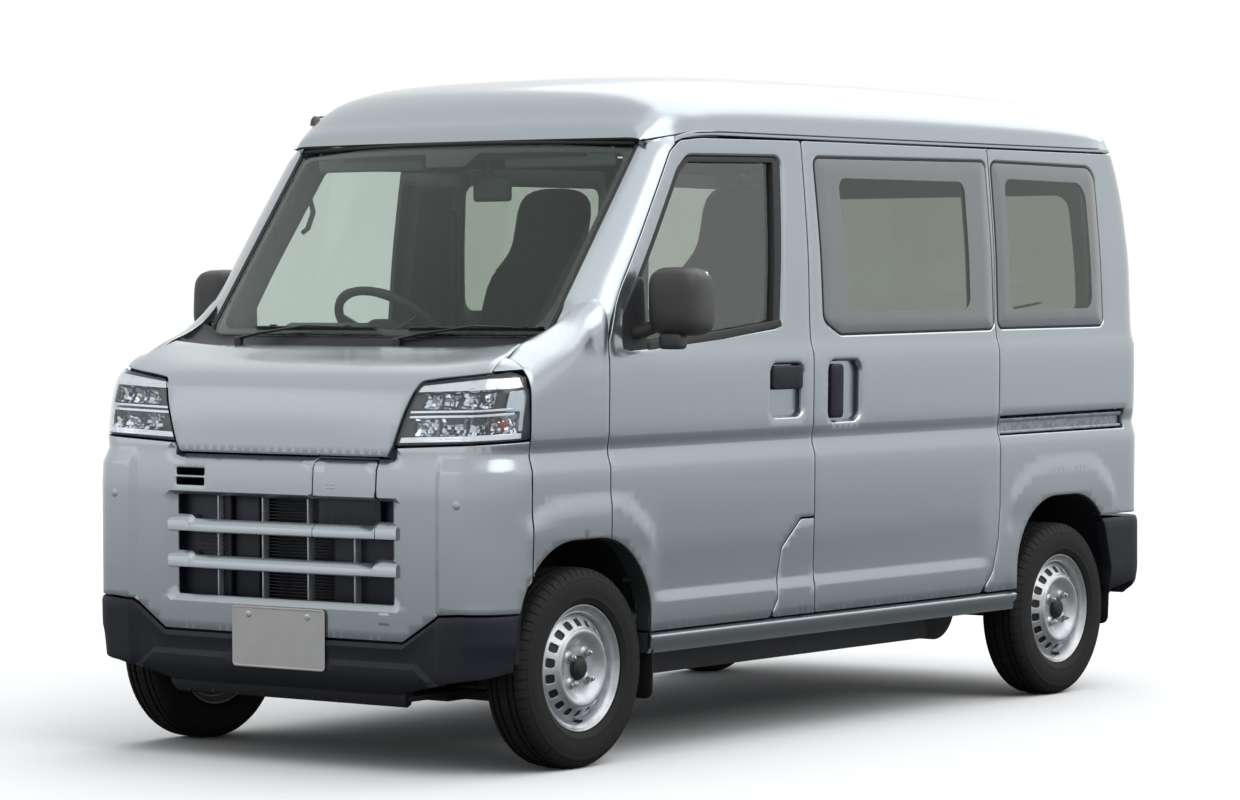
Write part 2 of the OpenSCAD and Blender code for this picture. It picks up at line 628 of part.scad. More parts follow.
// Rear edge of the cowl, which follows the foot of the windscreen
function foot_curve(gap) = [for (i = [-6:6]) let (u = i / 6) [u * ws_half, ws_low[0] + 92 * u * u + gap]];
module cowl() color(black) {
    translate([0, 0, 1096]) linear_extrude(30) polygon(concat(
        [[ws_half, hood_rear_y + 8], [-ws_half, hood_rear_y + 8]], foot_curve(20)));
    both_sides() {
        translate([hood_hinge_x, hood_pin[0], hood_pin[1]]) rotate([0, 90, 0])
            cylinder(h = 40, r = hood_pin_r);
        block([hood_hinge_x, hood_pin[0], hood_pin[1] - 2],
            [hood_hinge_x + 40, hood_rear_y + 10, hood_pin[1] + 2]);
    }
    translate([0, 0, 1125]) linear_extrude(ws_low[1] - 4.2 - 1125) polygon(concat(
        foot_curve(1.5), [for (i = [12:-1:0]) foot_curve(14)[i]]));
    for (w = [[-430, -1.5], [130, 5]]) translate([w[0], hood_rear_y + 18, 1120]) {
        cylinder(h = 30, r = 12);
        translate([0, 0, 22]) rotate([0, 0, w[1]]) translate([0, -8, 0]) cube([400, 16, 10]);
    }
}
ws_low = [front_axle_y - 106.5, 1150];
ws_high = [front_axle_y + 349.5, drip_z - 28];
ws_half = 606;
function ws_point(u, v, t) =
    let (y = ws_low[0] + (ws_high[0] - ws_low[0]) * v, z = ws_low[1] + (ws_high[1] - ws_low[1]) * v,
        bow = 92 - 46 * v)
    [u * ws_half, y + bow * u * u + t * 0.76, z - t * 0.65 - 10 * u * u * v];
module windscreen() color(clear) {
    n = 8;
    us = [for (i = [0:n]) -1 + 2 * i / n];
    points = [for (t = [0, glass_t + 1]) for (v = [0, 0.5, 1]) for (u = us) ws_point(u, v, t)];
    k = n + 1;
    m = 3 * k;
    polyhedron(points, concat(
        [for (r = [0, 1]) for (i = [0:n - 1]) each quad(r * k + i, r * k + k + i, r * k + k + i + 1,
            r * k + i + 1)],
        [for (r = [0, 1]) for (i = [0:n - 1]) each quad(m + r * k + i, m + r * k + i + 1,
            m + r * k + k + i + 1, m + r * k + k + i)],
        [for (i = [0:n - 1]) each quad(i, i + 1, m + i + 1, m + i)],
        [for (i = [0:n - 1]) each quad(2 * k + i, m + 2 * k + i, m + 2 * k + i + 1, 2 * k + i + 1)],
        [for (r = [0, 1]) each quad(r * k, m + r * k, m + r * k + k, r * k + k)],
        [for (r = [0, 1]) each quad(r * k + n, r * k + k + n, m + r * k + k + n, m + r * k + n)]
    ));
}

// ---- Doors and glass ----
// Door hinges: fixed barrels in notches of the door's front edge, on arms from the hinge post
door_pin = [skin_x - 1.5, door_front_y + 2];
door_pin_r = 4;
door_hinge_zs = [720, 980];
hinge_h = 40;
module door_hinges() {
    for (z = door_hinge_zs) {
        translate([door_pin[0], door_pin[1], z]) cylinder(h = hinge_h, r = door_pin_r);
        block([skin_x - 36, door_pin[1] - door_pin_r, z], [door_pin[0], door_pin[1] - 0.5, z + hinge_h]);
        block([skin_x - 36, door_front_y - 13, z], [skin_x - panel_t - 6, door_pin[1] - 0.5, z + hinge_h]);
    }
}
module front_door() {
    difference() {
        intersection() {
            side_wall(door_front_y, b_gap_y, 330, 1705, 0, door_t);
            across(500, far) front_door_2d(half_gap);
        }
        across(500, far) door_window_2d(2);
        for (z = door_hinge_zs) translate([door_pin[0] - door_pin_r - 2, door_front_y, z - 0.4])
            cube([60, 9, hinge_h + 0.8]);
        // Recess behind the pull handle
        translate([skin_x - 22, b_gap_y - 216, 915]) cube([60, 163, 142]);
    }
    translate([skin_x - 26, b_gap_y - 225, 985]) cube([24, 178, 34]);
}
module front_door_left() color(paint) front_door();
module front_door_right() color(paint) mirror([1, 0, 0]) front_door();
door_glass_depth = 20;
module door_glass() intersection() {
    side_wall(door_front_y, b_gap_y, 1095, 1680, door_glass_depth, glass_t);
    across(500, far) door_window_2d(1.5);
}
module door_glass_left() color(clear) door_glass();
module door_glass_right() color(clear) mirror([1, 0, 0]) door_glass();
mirror_z = 1240;
mirror_y = front_axle_y + 285.5;
module door_mirror() {
    translate([830, mirror_y, mirror_z]) rotate([0, 0, 8]) difference() {
        scale([0.88, 0.5, 1]) rotate([90, 0, 0]) intersection() {
            cylinder(h = 150, r = 118, center = true);
            cube([176, 196, 200], center = true);
        }
        translate([-74, 34, -84]) cube([148, 20, 168]);
    }
    // Base plate in the window's front corner, and the arm from it to the housing
    intersection() {
        side_wall(door_front_y + 70.5, door_front_y + 210.5, 1100, 1340, 0, door_glass_depth - 0.3);
        across(500, far) intersection() {
            polygon([[door_front_y + 60.5, 1100], [door_front_y + 60.5, 1205],
                [door_front_y + 170.5, 1331], [door_front_y + 195.5, 1100]]);
            door_window_2d(1.2);
        }
    }
    intersection() {
        side_wall(door_front_y + 90.5, door_front_y + 170.5, 1130, 1190, -60, 62);
        across(500, far) polygon([[door_front_y + 100.5, 1134], [door_front_y + 100.5, 1176],
            [door_front_y + 170.5, 1176], [door_front_y + 170.5, 1150]]);
    }
}
module mirror_left() color(black) door_mirror();
module mirror_right() color(black) mirror([1, 0, 0]) door_mirror();
module sliding_door() {
    difference() {
        intersection() {
            side_wall(b_gap_y, slide_rear_y, 330, 1705, 0, door_t);
            across(500, far) sliding_door_2d(half_gap);
        }
        across(500, far) sliding_window_2d(2);
        translate([skin_x - 22, b_gap_y + 77, 892]) cube([60, 162, 170]);
    }
    translate([skin_x - 25, b_gap_y + 131, 885]) cube([24, 40, 184]);
}
module sliding_door_left() color(paint) sliding_door();
module sliding_door_right() color(paint) mirror([1, 0, 0]) sliding_door();
module sliding_door_glass() color(clear) both_sides() intersection() {
    side_wall(b_gap_y, slide_rear_y, 1100, drip_z - 22, 4, glass_t);
    across(500, far) sliding_window_2d(1.5);
}
module quarter_glass() color(clear) both_sides() intersection() {
    side_wall(slide_rear_y, side_end_y, 1100, drip_z - 22, 4, glass_t);
    across(500, far) quarter_window_2d(1.5);
}

// ---- Rear end ----
// Width of a tail lamp beside the tailgate
lamp_w = 107.5;
gate_half = half_w - lamp_w;
gate_low_z = 548;
gate_top_z = drip_z - 12;
module gate_2d(g) offset(delta = -g) polygon([
    [-gate_half, gate_low_z], [-gate_half, 1100], [-gate_half + 26, gate_top_z - 140],
        [-gate_half + 50, gate_top_z],
    [gate_half - 50, gate_top_z], [gate_half - 26, gate_top_z - 140], [gate_half, 1100],
        [gate_half, gate_low_z]
]);
module gate_window_2d(g = 0) offset(delta = g) rounded(40) polygon([
    [-gate_half + 100, 1150], [-gate_half + 110, gate_top_z - 100], [gate_half - 110, gate_top_z - 100],
        [gate_half - 100, 1150]
]);
tail_levels = [540, 1000, 1325, gate_top_z - 116, gate_top_z, drip_z];
// Tailgate hinges: fixed barrels in notches of its top edge, on arms from the rear roof header
gate_pin = [rear_y - 111.5, gate_top_z];
gate_hinge_x = 360;
module gate_hinges() both_sides() {
    translate([gate_hinge_x, gate_pin[0], gate_pin[1]]) rotate([0, 90, 0])
        cylinder(h = hinge_h, r = door_pin_r);
    block([gate_hinge_x, side_end_y - 1, gate_pin[1]],
        [gate_hinge_x + hinge_h, gate_pin[0], gate_pin[1] + door_pin_r]);
}
module tailgate() color(paint) difference() {
    intersection() {
        tail_shell(tail_levels, 0, door_t);
        along(side_end_y + 20, rear_y + 50) gate_2d(half_gap);
    }
    both_sides() translate([gate_hinge_x - 0.4, gate_pin[0] - 6, gate_pin[1] - 7])
        cube([hinge_h + 0.8, 60, 40]);
    along(side_end_y, rear_y + 50) gate_window_2d(2);
}
module tailgate_glass() color(clear) intersection() {
    tail_shell([1100, 1325, gate_top_z - 116, gate_top_z], 4, glass_t);
    along(side_end_y - 20, rear_y + 50) gate_window_2d(1.5);
}
lamp_z = [575, 880];
module tail_lamps() color([0.6, 0.05, 0.05]) difference() {
    intersection() {
        tail_shell([lamp_z[0] - 10, lamp_z[1] + 10], 2, 50);
        along(side_end_y + 60.3, rear_y + 50) for (s = [-1, 1])
            translate([s > 0 ? gate_half + half_gap : -half_w - 10, lamp_z[0]])
            square([half_w + 10 - gate_half - half_gap, lamp_z[1] - lamp_z[0]]);
    }
}
rear_bumper_t = 36;
// Half of the rear bumper's plan outline, set in by d
function rear_bumper_half(d) = let (r = 115 - d) concat(
    [[half_w - d, rear_axle_y + 210]],
    [for (i = [0:5]) let (a = 90 * i / 5) [half_w - d - r * (1 - cos(a)),
        rear_y - 12 - d - r * (1 - sin(a))]],
    [[0, rear_y - d]]
);
module rear_bumper() color(dark) difference() {
    translate([0, 0, sill_z]) linear_extrude(gate_low_z - panel_gap - sill_z) difference() {
        polygon(concat(rear_bumper_half(0), mirrored(rear_bumper_half(0))));
        polygon(concat([[half_w - 40, rear_axle_y]], rear_bumper_half(rear_bumper_t),
            mirrored(rear_bumper_half(rear_bumper_t)), [[40 - half_w, rear_axle_y]]));
    }
    across(-far, far) arch(rear_axle_y, rear_arch_z);
}

// ---- Cab ----
dash_half = side_x(1140, panel_t + 0.3 + post_t) - 0.4;
module dashboard() color(black) {
    across(-dash_half, dash_half) polygon([
        for (p = [[10.5, 1060], [10.5, 1110], [85.5, 1140], [245.5, 1130], [300.5, 1080], [285.5, 940],
            [225.5, 860],
            [155.5, 850], [155.5, 1020]]) [front_axle_y + p[0], p[1]]
    ]);
    block([-90, front_axle_y + 165.5, foot_z + 0.3], [90, front_axle_y + 285.5, 900]);
}
wheel_c = [-350, front_axle_y + 485.5, 1155];
wheel_tilt = 42;
module steering_wheel() color(black) translate(wheel_c) rotate([-wheel_tilt, 0, 0]) {
    rotate_extrude() translate([172, 0]) circle(13);
    cylinder(h = 40, r = 62, center = true);
    for (a = [0, 120, 240]) rotate([0, 0, a + 90]) translate([40, -14, -8]) cube([125, 28, 14]);
    translate([0, 0, -255.3]) cylinder(h = 250, r = 32);
}
seat_x = 350;
module seats() color([0.22, 0.25, 0.27]) for (s = [-1, 1])
    translate([s * seat_x, front_axle_y + 1285.5, 0]) {
    block([-225, -700, load_z + 0.3], [225, -190, load_z + 150]);
    translate([-215, -250, load_z + 110]) rotate([-13, 0, 0]) cube([430, 110, 600]);
    translate([-120, -105, load_z + 670]) rotate([-13, 0, 0]) cube([240, 90, 260]);
}

// ---- Drive and running gear ----
pack_half = 555;
module battery_pack() color([0.25, 0.26, 0.28]) block([-pack_half, seat_riser_y + 20, 205],
    [pack_half, rear_axle_y - 524.5, 384.7]);
// Steering axis: from the lower ball joint to the top of the strut
ball = [wheel_x - 56, 205];
strut_top = [wheel_x - 148, 690];
kingpin_lean = atan2(ball[0] - strut_top[0], strut_top[1] - ball[1]);
module on_kingpin() translate([ball[0], front_axle_y, ball[1]]) rotate([0, -kingpin_lean, 0]) children();
strut_seat = 425;
hub_face_x = wheel_x + rim_w / 2 - 50;
module front_suspension() color(black) {
    block([-300, front_axle_y - 60, 160], [300, front_axle_y + 120, 200]);
    for (s = [-1, 1]) {
        block([s * rail_x - 30, front_axle_y, 199], [s * rail_x + 30, front_axle_y + 60, 289.7]);
        mirror([s > 0 ? 0 : 1, 0, 0]) {
            block([290, front_axle_y - 22, 165], [ball[0] - 30, front_axle_y + 22, 190]);
            on_kingpin() translate([0, 0, -45]) cylinder(h = 34.7, r = 22);
            // Strut tower under the wheel house's roof
            on_kingpin() translate([0, 0, strut_seat]) cylinder(h = 30, r = 58);
            block([cab_floor_half + 14.3, front_axle_y - 40, 638],
                [strut_top[0] + 20, front_axle_y + 40, 660]);
        }
    }
}
module rear_axle() color(black) {
    translate([-wheel_x + 60, rear_axle_y, tyre_r]) rotate([0, 90, 0]) cylinder(h = track - 120, r = 36);
    both_sides() {
        translate([wheel_x - 62, rear_axle_y, tyre_r]) rotate([0, 90, 0])
            cylinder(h = hub_face_x - 0.3 - wheel_x + 62, r = 100);
        translate([wheel_x - 10, rear_axle_y, tyre_r]) rotate([0, 90, 0])
            cylinder(h = hub_face_x + 14 - wheel_x + 10, r = hub_bore_r - 0.05);
    }
    translate([-70, rear_axle_y, tyre_r]) rotate([0, 90, 0]) cylinder(h = 320, r = 120);
    block([-200, rear_axle_y - 60, 200], [-60, rear_axle_y + 220, 380]);
    for (s = [-1, 1]) {
        block([s * 430 - 25, rear_axle_y - 480, 296], [s * 430 + 25, rear_axle_y + 380, 312]);
        for (y = [rear_axle_y - 480, rear_axle_y + 350])
            block([s * 430 - 25, y, 296], [s * 430 + 25, y + 30, load_z - floor_t - 0.3]);
    }
}
module knuckle() color(silver) {
    on_kingpin() {
        translate([0, 0, -10]) cylinder(h = 80, r = 24);
        translate([0, 0, 40]) cylinder(h = 250, r = 22);
        translate([0, 0, 289]) cylinder(h = strut_seat - 0.3 - 289, r = 14);
        translate([0, 0, 300]) cylinder(h = 8, r = 40);
    }
    translate([ball[0] - 30, front_axle_y, tyre_r]) rotate([0, 90, 0])
        cylinder(h = hub_face_x - 0.3 - ball[0] + 30, r = 40);
    translate([wheel_x - 20, front_axle_y, tyre_r]) rotate([0, 90, 0]) cylinder(h = 12, r = 112);
    translate([wheel_x - 10, front_axle_y, tyre_r]) rotate([0, 90, 0])
        cylinder(h = hub_face_x + 14 - wheel_x + 10, r = hub_bore_r - 0.05);
}
module knuckle_left() knuckle();
module knuckle_right() mirror([1, 0, 0]) knuckle();

// ---- Wheels ----
module rim() color(silver) difference() {
    union() {
        rotate([0, 90, 0]) rotate_extrude() polygon([
            [rim_r - 12, -rim_w / 2 + 6], [rim_r, -rim_w / 2], [rim_r, -rim_w / 2 + 10],
                [rim_r - 18, -rim_w / 2 + 18],
            [rim_r - 18, 10], [rim_r - 32, 18], [rim_r - 32, rim_w / 2 - 34], [rim_r - 18, rim_w / 2 - 18],
            [rim_r - 18, rim_w / 2 - 12], [rim_r, rim_w / 2 - 8], [rim_r, rim_w / 2],
                [rim_r - 12, rim_w / 2 - 4],
            [rim_r - 26, rim_w / 2 - 14], [rim_r - 30, rim_w / 2 - 34], [rim_r - 62, rim_w / 2 - 22],
                [rim_r - 80, rim_w / 2 - 28],
            [rim_r - 96, rim_w / 2 - 42], [hub_bore_r, rim_w / 2 - 42], [hub_bore_r, rim_w / 2 - 50],
            [rim_r - 94, rim_w / 2 - 50], [rim_r - 76, rim_w / 2 - 36], [rim_r - 62, rim_w / 2 - 30],
            [rim_r - 38, rim_w / 2 - 40], [rim_r - 38, 14], [rim_r - 24, 4], [rim_r - 24, -rim_w / 2 + 14]
        ]);
    }
    for (k = [0:vent_count - 1]) rotate([360 * k / vent_count, 0, 0]) translate([0, 0, rim_r - 52])
        rotate([0, 90, 0])
        translate([0, 0, 0]) cylinder(h = 60, r = 9);
    for (k = [0:nut_count - 1]) rotate([360 * (k + 0.5) / nut_count, 0, 0])
        translate([0, 0, nut_circle_r]) rotate([0, 90, 0]) cylinder(h = 60, r = 7);
}
module tyre() color(black) rotate([0, 90, 0]) rotate_extrude() polygon([
    [rim_r + 0.2, -rim_w / 2 + 1], [rim_r + 14, -tyre_w / 2 + 4], [rim_r + 44, -tyre_w / 2],
        [tyre_r - 30, -tyre_w / 2 + 6],
    [tyre_r - 8, -tyre_w / 2 + 16], [tyre_r, -tyre_w / 2 + 30], [tyre_r, tyre_w / 2 - 30],
        [tyre_r - 8, tyre_w / 2 - 16],
    [tyre_r - 30, tyre_w / 2 - 6], [rim_r + 44, tyre_w / 2], [rim_r + 14, tyre_w / 2 - 4],
        [rim_r + 0.2, rim_w / 2 - 1]
]);
module at_wheel(s, y) translate([s * wheel_x, y, tyre_r]) mirror([s > 0 ? 0 : 1, 0, 0]) children();
module rim_front_left() at_wheel(1, front_axle_y) rim();
module rim_front_right() at_wheel(-1, front_axle_y) rim();
module rim_rear_left() at_wheel(1, rear_axle_y) rim();
module rim_rear_right() at_wheel(-1, rear_axle_y) rim();
module tyre_front_left() at_wheel(1, front_axle_y) tyre();
module tyre_front_right() at_wheel(-1, front_axle_y) tyre();
module tyre_rear_left() at_wheel(1, rear_axle_y) tyre();
module tyre_rear_right() at_wheel(-1, rear_axle_y) tyre();

underframe();
side_left();
side_right();
roof_cap();
fenders();
fascia();
grille();
front_bumper();
cowl();
windscreen();
headlamps();
number_plate();
hood();
charge_lid();
front_door_left();
front_door_right();
door_glass_left();
door_glass_right();
mirror_left();
mirror_right();
sliding_door_left();
sliding_door_right();
sliding_door_glass();
quarter_glass();
tailgate();
tailgate_glass();
tail_lamps();
rear_bumper();
dashboard();
steering_wheel();
seats();
battery_pack();
front_suspension();
rear_axle();
knuckle_left();
knuckle_right();
rim_front_left();
rim_front_right();
rim_rear_left();
rim_rear_right();
tyre_front_left();
tyre_front_right();
tyre_rear_left();
tyre_rear_right();
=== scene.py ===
"""Finish of a small high-roof electric cargo van, built round its construction model.

Lengths are in millimetres until a mesh is made. The front faces -Y, the vehicle's left is +X.
"""

import json
import math

import bmesh
import bpy
import numpy as np
from mathutils import Matrix, Vector
from mathutils.geometry import delaunay_2d_cdt
from mathutils.kdtree import KDTree

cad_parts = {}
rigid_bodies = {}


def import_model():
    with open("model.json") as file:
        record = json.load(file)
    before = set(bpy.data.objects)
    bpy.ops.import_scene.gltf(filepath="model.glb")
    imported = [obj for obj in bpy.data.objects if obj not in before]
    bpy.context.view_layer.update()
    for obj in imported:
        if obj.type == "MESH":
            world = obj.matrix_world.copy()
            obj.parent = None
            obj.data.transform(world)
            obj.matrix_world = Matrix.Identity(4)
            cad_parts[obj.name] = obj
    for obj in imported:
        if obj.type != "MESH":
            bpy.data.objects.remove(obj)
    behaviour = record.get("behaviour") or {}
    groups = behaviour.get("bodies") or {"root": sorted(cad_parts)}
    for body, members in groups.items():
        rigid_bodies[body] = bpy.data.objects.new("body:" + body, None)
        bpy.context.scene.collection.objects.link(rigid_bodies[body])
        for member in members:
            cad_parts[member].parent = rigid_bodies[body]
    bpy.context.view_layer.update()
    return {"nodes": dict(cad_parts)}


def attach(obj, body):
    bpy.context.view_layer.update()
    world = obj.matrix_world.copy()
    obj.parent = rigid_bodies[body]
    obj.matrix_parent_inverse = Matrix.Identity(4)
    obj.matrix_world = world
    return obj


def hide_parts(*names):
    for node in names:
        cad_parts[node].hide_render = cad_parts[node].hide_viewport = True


for thing in list(bpy.data.objects):
    bpy.data.objects.remove(thing)
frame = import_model()

# Ends of the van, its nose and its two axles, from front to rear
FRONT_Y, REAR_Y = -1697.5, 1697.5
FACE_Y = FRONT_Y + 9
FRONT_AXLE, REAR_AXLE = -1285.5, 1164.5
# Half widths: to the wheels' middles, the body's skin and the widest trim
WHEEL_X, SKIN_X, HALF_W = 652.0, 732.5, 737.5
TYRE_R = 268.0
DOOR_T, PANEL_T, GAP = 60.0, 22.0, 6.0
# Gaps along the side: fascia to fender, fender to door, door to sliding door, sliding door to quarter
FASCIA_Y = FACE_Y + 170
DOOR_Y, B_Y, SLIDE_Y = FRONT_AXLE + 105, -215.0, 786.0
SILL_Z, DOOR_LOW, DOOR_TOP = 285.0, 345.0, 1697.0
# The left side is built, and the right one is its mirror image
SIDES = (("left", False), ("right", True))
SIGNS = (("left", 1), ("right", -1))


# ---------------------------------------------------------------- materials
def srgb(code, alpha=1.0):
    """A hex colour as linear red, green, blue and alpha."""
    parts = [int(code[i : i + 2], 16) / 255 for i in (0, 2, 4)]
    return tuple(c / 12.92 if c <= 0.04045 else ((c + 0.055) / 1.055) ** 2.4 for c in parts) + (alpha,)


def node(tree, kind, links=None, **settings):
    """Adds a node, sets its attributes or input sockets and links its inputs."""
    made = tree.nodes.new(kind)
    for key, value in settings.items():
        if hasattr(made, key):
            setattr(made, key, value)
        else:
            made.inputs[key.replace("_", " ")].default_value = value
    for key, source in (links or {}).items():
        tree.links.new(source, made.inputs[key])
    return made


def blank_material(name):
    """A new material and its node tree."""
    material = bpy.data.materials.new(name)
    material.use_nodes = True
    return material, material.node_tree


def finish(name, colour, metallic=0.0, roughness=0.5, grain=None, spread=None, coat=0.0, sheen=0.0,
    see_through=0.0, **sockets):
    """A Principled material.

    grain is (size in mm, bump strength), spread is (size in mm, second colour, share of it).
    """
    material, tree = blank_material(name)
    shader = tree.nodes["Principled BSDF"]
    shader.inputs["Base Color"].default_value = srgb(colour)
    sockets.update(Metallic=metallic, Roughness=roughness, Coat_Weight=coat, Sheen_Weight=sheen)
    sockets.update(Transmission_Weight=see_through)
    for key, value in sockets.items():
        shader.inputs[key.replace("_", " ")].default_value = value
    place = node(tree, "ShaderNodeTexCoord").outputs["Object"]
    if spread:
        size, second, share = spread
        cloud = node(tree, "ShaderNodeTexNoise", {"Vector": place}, Scale=1000 / size, Detail=4.0)
        mix = node(tree, "ShaderNodeMix", data_type="RGBA")
        ramp = node(tree, "ShaderNodeMapRange", {"Value": cloud.outputs["Fac"]}, From_Min=0.35,
            From_Max=0.65, To_Max=share)
        tree.links.new(ramp.outputs["Result"], mix.inputs["Factor"])
        mix.inputs[6].default_value = srgb(colour)
        mix.inputs[7].default_value = srgb(second)
        tree.links.new(mix.outputs[2], shader.inputs["Base Color"])
        rough = node(tree, "ShaderNodeMapRange", {"Value": cloud.outputs["Fac"]}, To_Min=roughness * 0.9,
            To_Max=roughness * 1.12)
        tree.links.new(rough.outputs["Result"], shader.inputs["Roughness"])
    if grain:
        size, strength = grain
        dots = node(tree, "ShaderNodeTexNoise", {"Vector": place}, Scale=1000 / size, Detail=2.0)
        bump = node(tree, "ShaderNodeBump", {"Height": dots.outputs["Fac"]}, Strength=strength,
            Distance=0.001)
        tree.links.new(bump.outputs["Normal"], shader.inputs["Normal"])
    return material


# Metallic base coat under clear lacquer: soft silver grey that turns pale where it faces the light.
# Its flakes are far finer than the render shows, so they are drawn 3 mm across and very weak.
paint = finish("metallic_paint_silver", "A6AEB3", 0.86, 0.25, spread=(3, "99A2A7", 0.5), coat=0.6,
    Coat_Roughness=0.11)
# Moulded polypropylene with a fine eroded grain: dull, slightly blue black.
bumper_plastic = finish("grained_polypropylene_navy", "141723", 0.0, 0.6, grain=(1.5, 0.25),
    spread=(60, "11131D", 0.6), Specular_IOR_Level=0.4)
# The same plastic in black, on mirrors, the cowl and the window frames.
black_plastic = finish("grained_polypropylene_black", "26272A", 0.0, 0.55, grain=(1.5, 0.25),
    spread=(50, "202124", 0.6))
mirror_plastic = finish("grained_polypropylene_grey", "3A3A3B", 0.0, 0.5, grain=(1.2, 0.2),
    spread=(50, "333334", 0.6))
# Extruded rubber seals: near black with a low shine.
rubber = finish("extruded_rubber", "17181A", 0.0, 0.6, grain=(2, 0.1), spread=(30, "1D1E20", 0.5))
# Interior mouldings: dark grey with leather-like grain.
trim = finish("moulded_interior_trim", "333C3E", 0.0, 0.6, grain=(2, 0.3), spread=(80, "2E3739", 0.6))
pale_trim = finish("moulded_pale_trim", "6E7777", 0.0, 0.65, grain=(2, 0.2), spread=(90, "667070", 0.6))
# Woven seat fabric, dark grey-green, with sheen at the edges.
fabric = finish("woven_seat_fabric", "2C3638", 0.0, 0.9, grain=(2.2, 0.5), spread=(14, "273133", 0.8),
    sheen=0.4)
# Black paint on pressed chassis steel, dull and uneven.
chassis = finish("chassis_black_paint", "1E1F21", 0.1, 0.6, grain=(4, 0.2), spread=(40, "29292A", 0.7))
battery_case = finish("coated_steel_case", "303236", 0.3, 0.5, grain=(3, 0.12), spread=(50, "2A2C30", 0.6))
# Cast and machined steel of knuckles, hubs and nuts.
cast_steel = finish("cast_steel", "6A6A68", 0.85, 0.48, grain=(3, 0.3), spread=(20, "504F4C", 0.8))
zinc = finish("zinc_plated_steel", "C4C6C6", 0.95, 0.28, grain=(2, 0.08), spread=(15, "AFB1B2", 0.6))
# Pressed steel wheels in silver paint: bright and slightly rough.
wheel_paint = finish("silver_wheel_paint", "BFC2C6", 0.5, 0.36, grain=(1.2, 0.06),
    spread=(25, "A2A5A9", 0.6), coat=0.3)
# Moulded tyre rubber, with a dusty spread of greys.
tyre_rubber = finish("moulded_tyre_rubber", "161718", 0.0, 0.75, grain=(2.5, 0.25),
    spread=(30, "1E1E1D", 0.8), Specular_IOR_Level=0.35)
# Vacuum-metallised reflectors and bright strips.
chrome = finish("metallised_reflector", "E6E8EA", 1.0, 0.08, spread=(40, "DADCDE", 0.5))
lamp_black = finish("lamp_bezel_black", "2B2F34", 0.2, 0.35, spread=(40, "24282C", 0.5))
amber = finish("amber_bulb", "E06A12", 0.0, 0.25, spread=(6, "C04E08", 0.5), see_through=0.3)
mirror_glass = finish("silvered_mirror", "D5DADD", 1.0, 0.03, spread=(60, "CDD2D5", 0.3))
red_lens = finish("red_acrylic_lens", "A01010", 0.0, 0.15, grain=(6, 0.25), spread=(12, "7E0A0A", 0.7),
    coat=0.5)
plate_paint = finish("plate_silver_paint", "CFCECC", 0.1, 0.5, grain=(1.5, 0.05), spread=(60, "C8C7C5", 0.6))
headliner = finish("needled_headliner", "4A5354", 0.0, 0.95, grain=(2, 0.3), spread=(20, "434C4D", 0.6))
anodised = finish("anodised_aluminium_rail", "A6ADB5", 0.8, 0.35, grain=(2, 0.05), spread=(20, "70747D", 0.6))
frit = finish("ceramic_frit", "1C1F21", 0.0, 0.25, spread=(90, "222527", 0.5), coat=0.3)
fin_black = finish("radiator_fins", "1D202A", 0.3, 0.45, spread=(30, "171922", 0.6))


def glazing(name, colour, gloss=0.05, roughness=0.0):
    """Thin glass: tinted and see-through, with a mirror reflection that grows at a slant."""
    material, tree = blank_material(name)
    shine = tree.nodes["Principled BSDF"]
    shine.inputs["Base Color"].default_value = srgb("F4F8F6")
    shine.inputs["Metallic"].default_value = 1.0
    shine.inputs["Roughness"].default_value = roughness
    place = node(tree, "ShaderNodeTexCoord").outputs["Object"]
    cloud = node(tree, "ShaderNodeTexNoise", {"Vector": place}, Scale=1000 / 400, Detail=2.0)
    tint = node(tree, "ShaderNodeMix", {"Factor": cloud.outputs["Fac"]}, data_type="RGBA")
    tint.inputs[6].default_value = srgb(colour)
    tint.inputs[7].default_value = tuple(c * 0.96 for c in srgb(colour)[:3]) + (1,)
    through = node(tree, "ShaderNodeBsdfTransparent", {"Color": tint.outputs[2]})
    slant = node(tree, "ShaderNodeLayerWeight", Blend=0.5)
    steep = node(tree, "ShaderNodeMath", {0: slant.outputs["Facing"]}, operation="POWER")
    steep.inputs[1].default_value = 5.0
    share = node(tree, "ShaderNodeMapRange", {"Value": steep.outputs[0]}, To_Min=gloss, To_Max=1.0)
    mix = node(tree, "ShaderNodeMixShader", {0: share.outputs["Result"], 1: through.outputs[0],
            2: shine.outputs[0]})
    tree.links.new(mix.outputs[0], tree.nodes["Material Output"].inputs["Surface"])
    return material


# Clear laminated and toughened glass with a faint green tint, and darker privacy glass behind the doors.
clear_glass = glazing("laminated_windscreen_glass", "EDF3F0", 0.026)
side_glass = glazing("toughened_side_glass", "EDF1EF", 0.07)
privacy_glass = glazing("tinted_rear_glass", "D3D6D1", 0.055)


